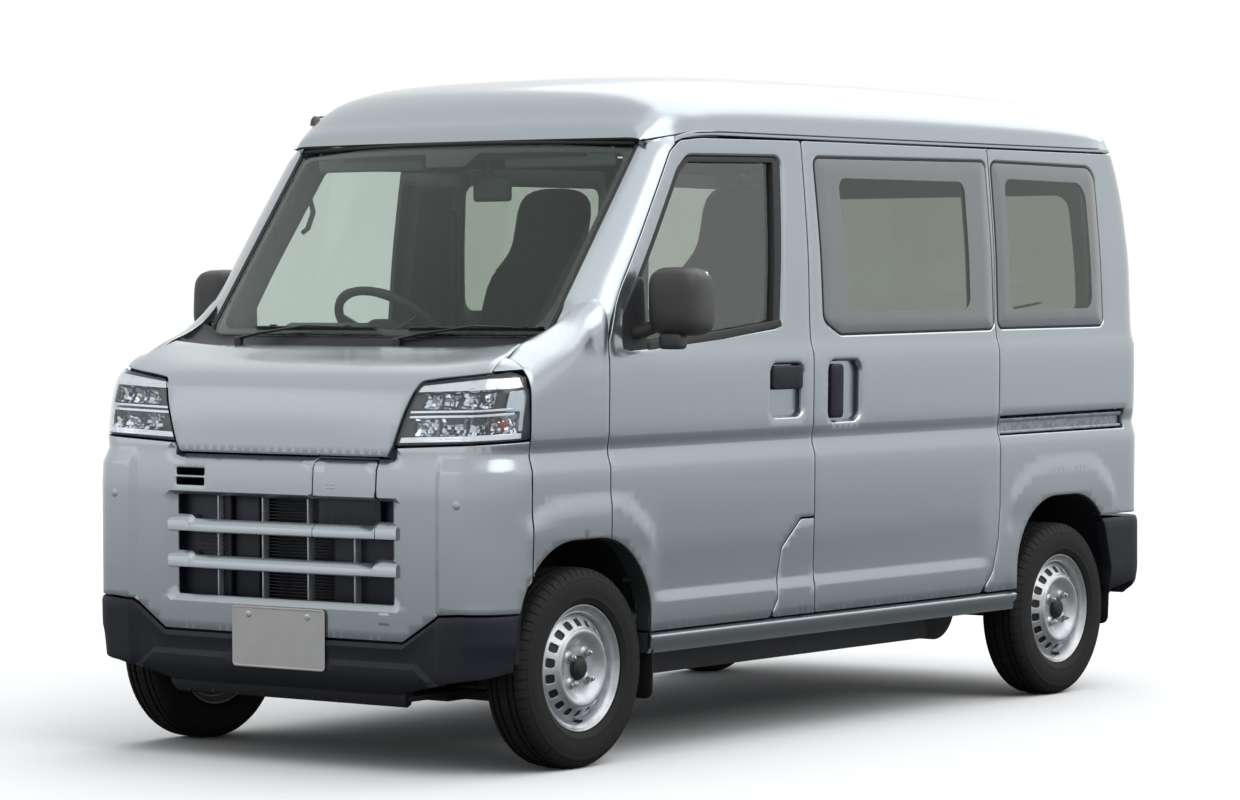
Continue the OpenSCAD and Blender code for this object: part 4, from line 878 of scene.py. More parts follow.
for side, mirror in SIDES:
    door = Shape()
    panel(door, side_skin, shut(front_door_line), [(door_window, window_rim), (handle_pocket, pocket_rim)],
        door_rim, (26, 26), SIDE_ROWS, lines=flare_lines[::2], marks=(0, 1))
    pocket_floor(door, handle_pocket)
    door.make(f"door_panel_{side}", [paint, trim], f"door_{side}", "paint", mirror,
        stands_for=[f"front_door_{side}"])
    seal = Shape()
    outer, inner = ring_of(door_window, 15, 1.0)
    panel(seal, deeper(side_skin, 6), outer, [inner], rolled(1.5, 14), (40, 40))
    # Wide sash at the rear edge and the waist moulding under the glass
    panel(seal, deeper(side_skin, 4), loop([(-395, 1165), (-360, 1630), (-326, 1640), (-364, 1167)], 12, 4),
        rim=rolled(2, 16), step=(40, 40))
    panel(seal, deeper(side_skin, -1.5), loop([(-1000, 1108), (-1000, 1132), (-640, 1158), (-360, 1186),
            (-356, 1166), (-640, 1134)], 12, 4), rim=rolled(3, 16), step=(30, 30))
    seal.make(f"window_frame_{side}", [black_plastic], f"door_{side}", "black_plastic", mirror)
    panel_piece(f"door_window_{side}", deeper(side_skin, 16), inset(turned(door_window), 3), [side_glass],
        f"door_{side}", "glass", mirror, [f"door_glass_{side}"], rim=rolled(1, 4.5), step=(60, 60))
    handle_line = loop([(-424, 988), (-424, 1055), (-275, 1055), (-275, 988)], 8, 14)
    panel_piece(f"door_handle_{side}", deeper(side_skin, -3.5), handle_line, [bumper_plastic],
        f"door_{side}", "black_plastic", mirror, rim=[(5, 0), (3, 0.6), (1, 2.4), (0, 5), (0, 22)])

    slide = Shape()
    panel(slide, side_skin, shut(sliding_line), [(sliding_window, window_rim), (slide_pocket, pocket_rim)],
        door_rim, (30, 26), SIDE_ROWS, marks=(0, 1))
    pocket_floor(slide, slide_pocket)
    slide.make(f"sliding_panel_{side}", [paint, trim], "root", "paint", mirror,
        stands_for=[f"sliding_door_{side}"])
    handle_line = loop([(-130, 900), (-130, 1056), (-66, 1056), (-66, 900)], 8, 14)
    panel_piece(f"sliding_handle_{side}", deeper(side_skin, -3), handle_line, [bumper_plastic], "root",
        "black_plastic", mirror, rim=[(6, 0), (3.5, 0.8), (1, 3), (0, 7), (0, 22)])


# Rear quarter: y along the side, round the corner and in to the tailgate
tail_form = profile([(170, -52), (300, -38), (545, -36), (1000, -34), (1325, -38), (1450, -50), (1584, -72),
        (1700, -110), (1712, -116), (1900, -170)])
TAIL_R = 75.0
TAIL_ARC = TAIL_R * math.pi / 2
# How far round the rear corner the lamps reach
LAMP_TURN = 0.42
GATE_LINE = straight([(500, 630), (1100, 630), (1560, 604), (1700, 580), (1712, 578)])


def tail_start(z):
    """Path along the side at which the rear corner begins."""
    return REAR_Y + tail_form(z) - 10 - TAIL_R


def tail_surface(u, z):
    """The side, its rear corner and the tail beside the tailgate."""
    reach = side_reach(u, z)
    start = tail_start(z)
    a = np.clip((u - start) / TAIL_ARC, 0, 1) * math.pi / 2
    on = np.maximum(u - start - TAIL_ARC, 0)
    x = reach - TAIL_R * (1 - np.cos(a)) - on
    y = np.minimum(u, start) + TAIL_R * np.sin(a) + 9 * np.clip(on / 640, 0, 1)
    return np.stack([x, y, z], -1)


def u_at_x(x, z):
    """Path along the side and round the rear corner to a place x on the tail."""
    return float(tail_start(z)) + TAIL_ARC + (SKIN_X + float(side_base(z)) - TAIL_R - x)


def u_at_turn(z, share):
    """Path to a share of the way round the rear corner."""
    return float(tail_start(z)) + TAIL_ARC * share


tail_skin = with_depth(tail_surface, away_from(700))
GATE_LOW, LAMP_LOW, LAMP_HIGH = 548.0, 575.0, 880.0
zs = np.linspace(LAMP_HIGH + 3, 1690, 14)
quarter_line = loop([(SLIDE_Y, 1697, 10)] + [(u_at_x(GATE_LINE(1697), 1697), 1697, 8)]
    + [(u_at_x(GATE_LINE(z), z), z) for z in zs[::-1]]
    + [(u_at_turn(LAMP_HIGH, LAMP_TURN), LAMP_HIGH + 3, 16),
        (u_at_turn(LAMP_LOW, LAMP_TURN), LAMP_LOW - 3, 16),
        (u_at_x(GATE_LINE(LAMP_LOW - 3), LAMP_LOW), LAMP_LOW - 3),
        (u_at_x(GATE_LINE(GATE_LOW), GATE_LOW), GATE_LOW + 1), (1392, GATE_LOW + 1)]
    + over_arch(REAR_AXLE, REAR_ARCH, REAR_AXLE - ARCH_HALF, 1385, 352)[::-1]
    + [(REAR_AXLE - ARCH_HALF, DOOR_LOW), (SLIDE_Y - 112, DOOR_LOW, 20), (SLIDE_Y - 45, 405, 60),
        (SLIDE_Y - 12, 500, 60), (SLIDE_Y, 600, 60)], 16)
rail_slot = loop([(SLIDE_Y + 3, 822), (SLIDE_Y + 3, 880), (1540, 884), (1540, 824)], 14, 3)
sill_form = profile([(285, -17), (300, -12), (313, -5.5), (325, -2.2), (331, -1.8), (333, -2.2),
        (341, -10.5), (342, -12)])
aperture = inset(turned(front_door_line), 46)

lower_panel = loop([(B_Y, DOOR_LOW), (B_Y, 620), (-283, 620, 22), (-378, 540, 40), (-400, 440, 30),
        (-402, 396, 20), (-440, DOOR_LOW, 16)], 24)

for side, mirror in SIDES:
    body = Shape()
    panel(body, tail_skin, shut(quarter_line), [(quarter_window, window_rim), (rail_slot, rolled(4, 30))],
        rolled(2.5, PANEL_T), (26, 26), SIDE_ROWS, lines=[flare_lines[1], flare_lines[3]])
    # Sill under the doors, and the narrow rail over them
    section = [(SKIN_X - 60, SILL_Z + 3), (SKIN_X - 18, SILL_Z),
        (SKIN_X - 16, SILL_Z + 1)] + [(SKIN_X + float(sill_form(z)), z)
        for z in (289, 300, 307, 313, 319, 325, 331, 333, 341)] + [(SKIN_X - 13, 342), (SKIN_X - 60, 342)]
    lofted(body, [[(x, y, z) for x, z in section] for y in spaced(FRONT_AXLE + ARCH_HALF + 4,
            REAR_AXLE - ARCH_HALF - 1, 80)])
    panel(body, side_skin, loop([(-824, 1677), (-812, 1694), (-760, 1705), (-700, 1710), (-640, 1711.5),
            (-640, 1700), (-700, 1697), (-745, 1693), (-790, 1687)], 12), rim=rolled(1.5, 40), step=(24, 12))
    beam = np.array([(2, 1700), (0, 1701.5), (0, 1706), (0, 1710), (2, 1711.5), (40, 1711.5), (40, 1700)])
    lofted(body, [tail_skin(np.full(7, u), beam[:, 1], beam[:, 0])
            for u in spaced(-642, u_at_x(1, 1705), 20)])
    # Fixed panel behind the lower cut corner of the front door
    panel(body, side_skin, shut(lower_panel), rim=rolled(2.5, PANEL_T), step=(30, 26), rows=SIDE_ROWS)
    body.make(f"body_side_{side}", [paint], "root", "paint", mirror, stands_for=[f"side_{side}"])
    # Inner wall, clear of the front arch, with the door's and the windows' openings
    over_wheel = [(y, z, 2) for y, z in reversed(arch_line(FRONT_AXLE, FRONT_ARCH, 24, 350)) if y > -1165]
    wall_line = loop(over_wheel + [(-1172, 636), (-1172, 1230), (-846, 1655), (-700, 1690), (1560, 1690),
            (1570, 600), (1440, 560), (1440, 660), (890, 660), (890, 350)], 40, 20)
    openings = [aperture, inset(turned(sliding_window), -8), inset(turned(quarter_window), -8)]
    panel_piece(f"inner_frame_{side}", deeper(side_skin, 63), wall_line, [trim], "root", "trim", mirror,
        holes=openings, rim=rolled(6, 40), step=(80, 80))
    rail = Shape()
    panel(rail, deeper(side_skin, 10), loop([(SLIDE_Y + 6, 830), (SLIDE_Y + 6, 868), (1528, 872),
            (1528, 832)], 20, 3), rim=[(5, 0), (4, 1.5), (0, 5), (0, 16)], step=(60, 40))
    for low, high, rear_low, rear_high in ((858, 870, 862, 874), (827, 835, 830, 838)):
        lip = loop([(SLIDE_Y + 6, low), (SLIDE_Y + 6, high), (1528, rear_high), (1528, rear_low)], 20, 2)
        panel(rail, deeper(side_skin, 3), lip, rim=rolled(2, 10), step=(60, 40), marks=(1, 1))
    rail.make(f"door_rail_{side}", [anodised, anodised], "root", "black_plastic", mirror)


# ---------------------------------------------------------------- front
def both(points):
    """A half outline from the middle line, and its mirror image."""
    points = [tuple(p) for p in points]
    return points + [(-p[0],) + p[1:] for p in reversed(points) if p[0]]


def at_corner(zs, y=FASCIA_Y):
    """Outline points at a place y round the nose's corner."""
    return [(s_at_y(y, z), z) for z in zs]


HOOD_LOW, HOOD_REAR = 833.0, FRONT_AXLE - 134.5
BUMPER_TOP = straight([(0, 348), (424, 348), (545, 424), (620, 429), (1200, 429)])
arch_front = [p for p in arch_line(FRONT_AXLE, FRONT_ARCH) if p[0] < FASCIA_Y - 4 and p[1] > 440]
arch_edge = [(s_at_y(y, z), z) for y, z in sorted(arch_front, key=lambda p: -p[1])]
fascia_half = [(372, HOOD_LOW, 5), (389, 861, 3)] + at_corner([880, 840, 800, 740, 680, 620, 560,
        523]) + arch_edge + [(s_at_y(-1563.2, 429), 429), (620, 429), (545, 424, 6), (424, 348, 8)]
fascia_line = loop(both(fascia_half), 14)


def fascia_surface(s, z):
    """The nose, with the shelf under the hood."""
    out = nose_ring(s, z)
    shelf = np.clip((z - 808) / 24, 0, 1.2) * (1 - ease(np.abs(s), 388, 400))
    out[..., 1] += 19 * shelf
    return out


fascia_skin = with_depth(fascia_surface, away_from(-900))
slots = [loop([(-380, z), (-274, z), (-274, z + 20), (-380, z + 20)], 10, 5) for z in (744, 771)]
# Sides of the charging lid's hole, and the grille's opening
LID_IN, LID_OUT, OPEN_HALF, OPEN_LOW, OPEN_TOP = 116.5, 338.5, 384, 447, 716
opening = loop([(-OPEN_HALF, OPEN_LOW), (OPEN_HALF, OPEN_LOW), (OPEN_HALF, OPEN_TOP), (LID_OUT, OPEN_TOP),
    (LID_OUT, 828.5, 14), (LID_IN, 828.5, 14), (LID_IN, OPEN_TOP), (-OPEN_HALF, OPEN_TOP)], 14, 2)
block_ends = ((BLOCK_S + BLOCK_SLOPE, BLOCK_TOP), (BLOCK_S, BLOCK_TOP + BLOCK_ROOF - 2))
block_lines = [[(k * s, 435), (k * s, top)] for s, top in block_ends for k in (-1, 1)]
frame_lines = [[(-FRAME_S, FRAME_TOP), (-FRAME_S, FRAME_LOW), (FRAME_S, FRAME_LOW), (FRAME_S, FRAME_TOP)],
    [(-FRAME_S, FRAME_TOP), (116, FRAME_TOP)], [(339, FRAME_TOP), (FRAME_S, FRAME_TOP)]]
block_columns = [k * (s + step) for k in (-1, 1) for s, top in block_ends for step in (-4, 0, 4)]
fascia = Shape()
panel(fascia, fascia_skin, shut(fascia_line), [(opening, [(2, 0), (1, 0.4), (0, 2), (0, 3), (0, 26)])]
    + [(s, rolled(3, 24)) for s in slots], rolled(2.5, PANEL_T), (26, 26),
    rows=BELT_ROWS + (FRAME_LOW, OPEN_LOW, OPEN_TOP, FRAME_TOP, 808, 820, 832),
    columns=block_columns + [-FRAME_S, FRAME_S], lines=block_lines + frame_lines, marks=(0, 1))
fascia.make("front_panel", [paint, bumper_plastic], "root", "paint", stands_for=["fascia"], sharp=24)


def slat(shape, low, x_from, x_to):
    """A body-colour slat whose ends stand higher and further out than its middle."""
    stops = sorted({x for x in (-408, -384, -350, -334, -326, -318, -260, -170, -90, 0, 90, 170, 260, 318,
            326, 334, 350, 384, 408) if x_from < x < x_to} | {x_from, x_to})
    rings = []
    for x in stops:
        rise = float(np.clip((abs(x) - 318) / 16, 0, 1))
        in_frame = float(np.clip((FRAME_S - abs(x)) / FRAME_SLOPE, 0, 1))
        front = float(nose_ring(x, 560.0)[1]) - FRAME_DEEP * in_frame - 4
        section = [(6, 0), (3.2 - 4 * rise, 2.5), (3.0 - 4 * rise, 19 + 9 * rise),
            (4.2 - 4 * rise, 21.5 + 9 * rise), (17, 33 + 11 * rise), (19, 35 + 11 * rise),
            (40, 35 + 11 * rise), (40, 0)]
        rings.append([(x, front + d, low + h) for d, h in section])
    lofted(shape, rings)


slats = Shape()
# The lower slat in one piece, and the upper one on both sides of the charging lid
for low, x_from, x_to in ((518, -408, 408), (617, -408, LID_IN), (617, LID_OUT, 408)):
    slat(slats, low, x_from, x_to)
slats.make("grille_slats", [paint], "root", "paint", sharp=30)

lid = Shape()
panel(lid, fascia_skin, shut(loop([(119, 716, 1), (336, 716, 1), (336, 826, 12), (119, 826, 12)], 12), 3),
    rim=rolled(1.5, PANEL_T), step=(24, 24), rows=(728, 808, 820), marks=(0, 1))
panel(lid, deeper(nose_skin, 10), loop([(121, 652), (334, 652), (334, 716), (121, 716)], 20),
    rim=rolled(1, 12), step=(50, 40), marks=(1, 1))
slat(lid, 617, 119, 336)
for z in (748, 757):
    panel(lid, deeper(fascia_skin, -1.2), loop([(166, z), (196, z), (196, z + 4), (166, z + 4)], 8, 2),
        rim=rolled(1, 4), step=(20, 20))
tube(lid, [(335, FACE_Y + 2.5, z) for z in (700, 741)], 2.4, 8, mark=1)
lid.make("charge_door", [paint, fin_black], "charge_lid", "paint", stands_for=["charge_lid"], sharp=30)

# Radiator, its shrouds and the upright bars
radiator = Shape()
rounded_box(radiator, (-402, FACE_Y + 92, 424), (402, FACE_Y + 108, 800), 3)
for x0, x1, deep in ((-402, -214, 44), (-214, -122, 58), (150, 402, 50)):
    rounded_box(radiator, (x0 + 1, FACE_Y + deep, 424), (x1 - 1, FACE_Y + 98, 732), 6)
for k in range(4):
    rounded_box(radiator, (-322, FACE_Y + 40, 566 + 12 * k), (-228, FACE_Y + 48, 573 + 12 * k), 2, mark=1)
for x in (-112, 140):
    tube(radiator, [(x, FACE_Y + 76, 424), (x, FACE_Y + 76, 600), (x, FACE_Y + 76, 800)], 9, 12, mark=1)
for x in (-244, -81, 81, 244):
    for z0, z1 in ((447, 520), (550, 620), (650, 716)):
        if x == 244 and z0 == 650:
            continue
        front = float(nose_ring(x, 560.0)[1]) + 10
        rounded_box(radiator, (x - 2.6, front, z0 - 4), (x + 2.6, front + 26, z1 + 4), 1.6, mark=2)
radiator.make("radiator", [fin_black, black_plastic, wheel_paint], "root", "black_plastic",
    stands_for=["grille"])


def repeated(name, cell, first, step, count, material, body):
    """Copies of a small mesh in a row, made by a node tree with named sizes."""
    tree = bpy.data.node_groups.new(name, "GeometryNodeTree")
    tree.is_modifier = True
    tree.interface.new_socket("Cell", in_out="INPUT", socket_type="NodeSocketGeometry")
    inputs = {}
    for label, kind, value in (("Count", "NodeSocketInt", count),
        ("First", "NodeSocketVector", tuple(c / 1000 for c in first)),
        ("Step", "NodeSocketVector", tuple(c / 1000 for c in step))):
        socket = tree.interface.new_socket(label, in_out="INPUT", socket_type=kind)
        inputs[socket.identifier] = value
    tree.interface.new_socket("Geometry", in_out="OUTPUT", socket_type="NodeSocketGeometry")
    source = node(tree, "NodeGroupInput").outputs
    line = node(tree, "GeometryNodeMeshLine", {"Count": source["Count"], "Start Location": source["First"],
            "Offset": source["Step"]})
    placed = node(tree, "GeometryNodeInstanceOnPoints",
        {"Points": line.outputs["Mesh"], "Instance": source["Cell"]})
    real = node(tree, "GeometryNodeRealizeInstances", {"Geometry": placed.outputs["Instances"]})
    dressed = node(tree, "GeometryNodeSetMaterial", {"Geometry": real.outputs["Geometry"]}, Material=material)
    tree.links.new(dressed.outputs["Geometry"], node(tree, "NodeGroupOutput").inputs["Geometry"])
    carrier = bpy.data.objects.new(name + "_carrier", cell)
    bpy.context.scene.collection.objects.link(carrier)
    modifier = carrier.modifiers.new("row", "NODES")
    modifier.node_group = tree
    for key, value in inputs.items():
        modifier[key] = value
    bpy.context.view_layer.update()
    mesh = bpy.data.meshes.new_from_object(carrier.evaluated_get(bpy.context.evaluated_depsgraph_get()))
    bpy.data.objects.remove(carrier)
    mesh.name = name
    piece = bpy.data.objects.new(name, mesh)
    bpy.context.scene.collection.objects.link(piece)
    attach(piece, body)
    return piece


def cell_mesh(name, shape):
    mesh = bpy.data.meshes.new(name)
    mesh.from_pydata((np.concatenate(shape.verts) / 1000).tolist(), [], shape.faces)
    mesh.update()
    return mesh


fin = Shape()
rounded_box(fin, (-116, -9, -1.8), (142, 9, 1.8), 0.8)
repeated("radiator_fins", cell_mesh("fin", fin), (0, FACE_Y + 84, 432), (0, 0, 9), 33, fin_black, "root")

# Parking sensors in the corner blocks and the cover of the tow eye
for side, sign in SIGNS:
    u, v = sign * s_at_x(611, 715), 715
    ring = loop([(u + 12 * math.cos(a), v + 12 * math.sin(a)) for a in around(24)], 20)
    panel_piece(f"parking_sensor_{side}", deeper(nose_skin, -1.4), ring, [paint], "root", "paint",
        rim=[(3, 0), (1, 0.5), (0, 1.5), (0, 12)], step=(20, 20))
cover_line = loop([(343, 392), (381, 392), (381, 425), (343, 425)], 8, 6)
panel_piece("tow_eye_cover", deeper(nose_skin, -0.7), cover_line, [paint], "root", "paint",
    rim=[(1.2, 0), (0.4, 0.3), (0, 1.2), (0, 10)], step=(8, 8))


# Front bumper: a chamfered top edge, a bend in the middle and a raised lower lip
def bumper_surface(s, z):
    """The nose with the bumper's chamfers."""
    out = nose_ring(s, z)
    below = BUMPER_TOP(np.abs(s)) - 2 - z
    middle = 4.5 * np.clip((below - 14) / 26, 0, 1) * (1 - ease(np.abs(s), 430, 560))
    out[..., 1] -= (5 * np.clip(below / 14, 0, 1) - middle) * np.clip((1000 - np.abs(s)) / 200, 0, 1)
    low = np.clip((236 - z) / 36, 0, 1) * np.clip((np.abs(s) - 430) / 100, 0, 1)
    out[..., 1] += 16 * low
    return out


def arch_front_y(z):
    """Front edge of the front wheel arch at a height."""
    rise = z - (FRONT_ARCH - ARCH_R)
    if rise <= 0:
        return FRONT_AXLE - ARCH_HALF
    return FRONT_AXLE - (ARCH_HALF - ARCH_R) - ARCH_R * math.cos(math.asin(rise / ARCH_R))


bumper_skin = with_depth(bumper_surface, away_from(-900))
bumper_arch = [(s_at_y(arch_front_y(z), z), z) for z in (429, 405, 380, 345, 300, 276)]
bumper_half = [(424, 348, 8), (545, 424, 6), (620, 429)] + bumper_arch + [(700, 262, 20), (600, 250, 30),
    (470, 222, 40), (400, 206)]
bumper_lines = [[(-544, 238), (-469, 295), (469, 295), (544, 238)],
    [(-520, 238), (-465, 280), (465, 280), (520, 238)],
    [(-545, 408), (-424, 332), (424, 332), (545, 408), (700, 413)], [(-545, 408), (-700, 413)]]
panel_piece("front_bumper_skin", bumper_skin, shut(loop(both(bumper_half), 14)), [bumper_plastic], "root",
    "bumper_plastic", stands_for=["front_bumper"], sharp=24, rim=rolled(3, PANEL_T + 6), step=(26, 18),
    rows=(206, 214, 280, 295, 332, 346, 410, 427), lines=bumper_lines)
under = Shape()
lofted(under, [[(x * k, y, z) for x, y, z in ((1, FACE_Y + 22, 214), (0.995, FACE_Y + 24, 196),
        (0.97, FACE_Y + 36, 178), (0.96, FACE_Y + 50, 174), (0.97, FACE_Y + 60, 180), (1, FACE_Y + 60, 214))]
        for k in np.linspace(-420, 420, 25)])
rounded_box(under, (-420, FACE_Y + 40, 190), (420, FRONT_AXLE - 100, 206), 4)
for sign in (-1, 1):
    rounded_box(under, (sign * 360 - 20, FRONT_AXLE - 240, 200), (sign * 360 + 20, FRONT_AXLE - 200, 289), 3)
for x in np.linspace(-360, 360, 9):
    rounded_box(under, (x - 3, FACE_Y + 30, 176), (x + 3, FACE_Y + 58, 208), 2)
under.make("undertray", [black_plastic], "root", "black_plastic")

# Blank number plate with a rolled edge and two bolts
plate = Shape()
corner = [(165, 259.5, 12), (165, 424.5, 12), (-165, 424.5, 12), (-165, 259.5, 12)]
edge = [(7, 1.4), (5.5, 1.2), (4.6, 0.3), (3.4, 0), (1.4, 0.3), (0.3, 1.2), (0, 2.4), (1.2, 3.2)]


def plate_surface(u, v, depth):
    """The flat front of the number plate."""
    return np.stack([u, FRONT_Y + 0.4 + np.asarray(depth) + np.zeros(len(u)), v], -1)


ring = turned(loop(corner, 20))
base = inset(ring, 7)
panel(plate, lambda u, v, d: plate_surface(u, v, np.asarray(d) + 1.4), base, rim=[(0, 0), (0, 1.6)],
    step=(60, 60))
rows = [plate_surface(*inset(ring, m).T, d) for m, d in edge]
lofted(plate, rows, caps=False)
for x in (-105, 105):
    t = around(18)
    lofted(plate, [[(x + r * math.cos(a), FRONT_Y + d, 402.5 + r * math.sin(a)) for a in t] for d,
            r in ((2.2, 9), (0.6, 8.6), (0.2, 7.6), (0.2, 3.4), (1.4, 3.0))], mark=1)
plate.make("number_plate_blank", [plate_paint, zinc], "root", "plate", stands_for=["number_plate"], sharp=40)

# ---------------------------------------------------------------- hood, fenders and windscreen pillars
hood_line = loop(both([(372, path_at_z(HOOD_LOW), 6), (389, path_at_z(861), 6), (454, path_at_z(1034), 26),
        (648, path_at_z(1058), 6), (640, path_at_y(640, -1500), 40), (622, path_at_y(622, HOOD_REAR), 8)]
        + [(x, path_at_y(x, HOOD_REAR)) for x in (560, 480, 400, 300, 200, 100)]), 16)
hood_rows = [path_at_z(z) for z in (845, 860, 1010, 1045, 1072)]
panel_piece("hood_skin", hood_skin, shut(hood_line), [paint, paint], "hood", "paint", stands_for=["hood"],
    sharp=28, rim=[(4, 0), (2.2, 0.5), (0.7, 2.2), (0, 4.5), (0, 16)], step=(30, 18), rows=hood_rows,
    marks=(0, 1))

for side, mirror in SIDES:
    fender = Shape()
    top_edge = [(y, 1200) for y in np.linspace(FASCIA_Y + 2, -1252, 12)]
    outline = [(FASCIA_Y, 525)] + [(FASCIA_Y, t) for t in (600, 700, 800, 900, 1000, 1100,
            1200)] + top_edge[1:] + [(DOOR_Y, 1200), (DOOR_Y, 1140)]
    outline += [(DOOR_Y, t) for t in (1000, 900, 800, 700)] + over_arch(FRONT_AXLE, FRONT_ARCH, FASCIA_Y,
        DOOR_Y)[::-1]
    panel(fender, fender_skin, shut(loop(outline, 16)), rim=rolled(2.5, PANEL_T), step=(24, 24),
        rows=BELT_ROWS + (1000, 1033, 1066, 1100, 1133, 1166), lines=[flare_lines[0]], marks=(0, 1))
    # Corner over the lamp, from the fender's front edge to the hood's corner
    reach = np.linspace(0, 1, 10)
    t = np.linspace(1000, 1198, 60)
    low_t = np.interp(1067.5, fender_surface(np.full(60, FASCIA_Y), t)[:, 2], t)
    back_edge = fender_skin(np.full(10, FASCIA_Y + 7), low_t + (1199 - low_t) * reach, np.full(10, -0.3))
    bulge = back_edge - (back_edge[0] + np.outer(reach, back_edge[-1] - back_edge[0]))
    rings = []
    for k in np.linspace(0, 1, 15):
        foot = nose_ring(s_at_y(FASCIA_Y, 1067) * (1 - k) + 655 * k, 1067.5 - 6 * k)
        top = hood_surface(641.5 + 8.5 * k, path_at_y(641, FASCIA_Y) * (1 - k) + path_at_z(1063) * k)
        foot, top = (back_edge[0], back_edge[-1]) if k == 0 else (foot, top)
        share = np.linalg.norm(top - foot) / np.linalg.norm(back_edge[-1] - back_edge[0])
        line = foot + np.outer(reach, top - foot) + bulge * share
        rings.append(np.concatenate([line, line[::-1] - (1.6, -2.2, 3.2)]))
    lofted(fender, rings)
    fender.make(f"fender_skin_{side}", [paint, bumper_plastic], "root", "paint", mirror,
        stands_for=["fenders"] if side == "left" else (), sharp=26)


# Pillars beside the windscreen, from the door gap round to the glass
pillar_out = straight([(0, DOOR_Y - 3), (0.09, DOOR_Y + 8), (0.2, DOOR_Y + 34), (0.93, -856), (1, -826)])
pillar_out_z = straight([(0, 1160), (0.09, 1196), (0.2, 1234), (0.93, 1650), (1, 1672)])
# Half width of the windscreen and the path up it
SCREEN_X, SCREEN_UP = 606.0, 700


def screen_point(a, b):
    """The windscreen: a across, b up from 0 to SCREEN_UP."""
    u, v = np.asarray(a, float) / SCREEN_X, np.asarray(b, float) / SCREEN_UP
    return np.stack([u * SCREEN_X, -1392 + 456 * v + (92 - 46 * v) * u * u, 1150 + 534 * v - 10 * u * u * v],
        -1)


screen_skin = with_depth(screen_point, facing(0, -1.0, 0.8))


def pillar_rings(inner=0.0):
    """Curves across the pillar, from its foot up; inner moves them into the body."""
    rings = []
    for v in np.concatenate([np.linspace(0, 0.25, 8), np.linspace(0.3, 1, 22)]):
        y, z = float(pillar_out(v)), float(pillar_out_z(v))
        start = np.array([side_reach(np.array([y]), np.array([z]))[0] - 1 - inner, y, z])
        b = SCREEN_UP * (0.075 + 0.925 * v)
        end = screen_point(SCREEN_X + 5, b) + np.array([0, inner * 0.6 - 2, -inner * 0.4 - 1])
        corner = np.array([start[0] - 14, end[1] + 0.24 * (start[1] - end[1]),
                0.5 * start[2] + 0.5 * end[2] + 6])
        corner[1] += inner * 0.5
        t = np.linspace(0, 1, 13)[:, None]
        near_start, near_end = 0.45 * start + 0.55 * corner, 0.4 * end + 0.6 * corner
        outward = (1 - t) ** 3 * start + 3 * (1 - t) ** 2 * t * near_start
        rings.append(outward + 3 * (1 - t) * t * t * near_end + t**3 * end)
    return np.array(rings)


# Places along the roof, close together where it curves down at its ends
roof_runs = ((-905, -830, 9), (-815, -600, 12), (-570, 1400, 30), (1420, 1575.5, 14))
roof_y = np.unique(np.round(np.concatenate([np.linspace(*run) for run in roof_runs]), 1))
roof_top = profile([(-905, 1690), (-895, 1716), (-860, 1752), (-800, 1808), (-730, 1848), (-600, 1874),
        (-350, 1886), (300, 1890), (900, 1882), (1300, 1866), (1440, 1846), (1530, 1804), (1563, 1768),
        (1575.5, 1734)])
roof_base = straight([(-905, 1682), (-860, 1690), (-760, 1706), (-600, 1712), (1600, 1712)])
roof_bow = profile([(-905, 30), (-350, 0)])
roof_half = profile([(-905, 626), (-860, 652), (-800, 672), (-700, 682), (1400, 682), (1480, 678),
        (1540, 664), (1575.5, 640)])
ROOF_H = 178
section = np.array([(0, 0), (1.5, 6), (4, 14), (13, 46), (24, 72), (37, 94), (54, 115), (74, 131), (96, 143),
        (135, 154), (190, 163), (290, 171), (396, 175), (540, 177.5), (682, ROOF_H)], float)
section_path = np.concatenate([[0], np.cumsum(np.hypot(*np.diff(section, axis=0).T))])
section_in = profile(list(zip(section_path, section[:, 0])))
section_up = profile(list(zip(section_path, section[:, 1])))
stations = np.concatenate([np.linspace(0, 250, 26), np.linspace(270, section_path[-1], 14)])


def roof_ring(y, drop=0.0):
    """The roof's section at a place y, from its left edge over to its right; drop moves it inward."""
    w, b = float(roof_half(y)) - drop, float(roof_base(y))
    h = max(float(roof_top(y)) - drop - b, 5.0)
    into, up = section_in(stations), section_up(stations)
    # The round edge narrows with the height, and the flat middle takes up the rest
    narrow, edge_w = min(1.0, (h + 40) / ROOF_H), 190
    middle = edge_w * narrow + (into - edge_w) * (w - edge_w * narrow) / (682 - edge_w)
    x = w - np.where(into < edge_w, into * narrow, middle)
    z = b + up * h / ROOF_H
    half = np.stack([x, y - float(roof_bow(y)) * np.maximum(0, 1 - (x / 607) ** 2), z], -1)
    return np.concatenate([half, half[-2::-1] * (-1, 1, 1)])


for side, sign in SIGNS:
    pillar = Shape()
    rings = pillar_rings()
    back = pillar_rings(16.0)
    rings[:3] -= np.array([3, -3, 3])
    # The top runs up under the roof's edge
    eave = np.array([roof_ring(y)[0] - (3, 0, -1.5) for y in np.linspace(-800, -902, 13)])
    eave_back = eave - (15, -12, 0)
    rings = np.concatenate([rings, [0.45 * rings[-1] + 0.55 * eave, eave]])
    back = np.concatenate([back, [0.45 * back[-1] + 0.55 * eave_back, eave_back]])
    closed = np.concatenate([rings, back[:, ::-1]], 1) * (sign, 1, 1)
    lofted(pillar, closed)
    pillar.make(f"windscreen_pillar_{side}", [paint], "root", "paint", sharp=40)

roof = Shape()
lofted(roof, [roof_ring(y) for y in roof_y], closed=False, caps=False)
inner = [roof_ring(y, 6.0) for y in np.concatenate([[-880.0], roof_y[4:-3], [1560.0]])]
lofted(roof, [r - (0, 0, 2) for r in inner], closed=False, caps=False, mark=1)
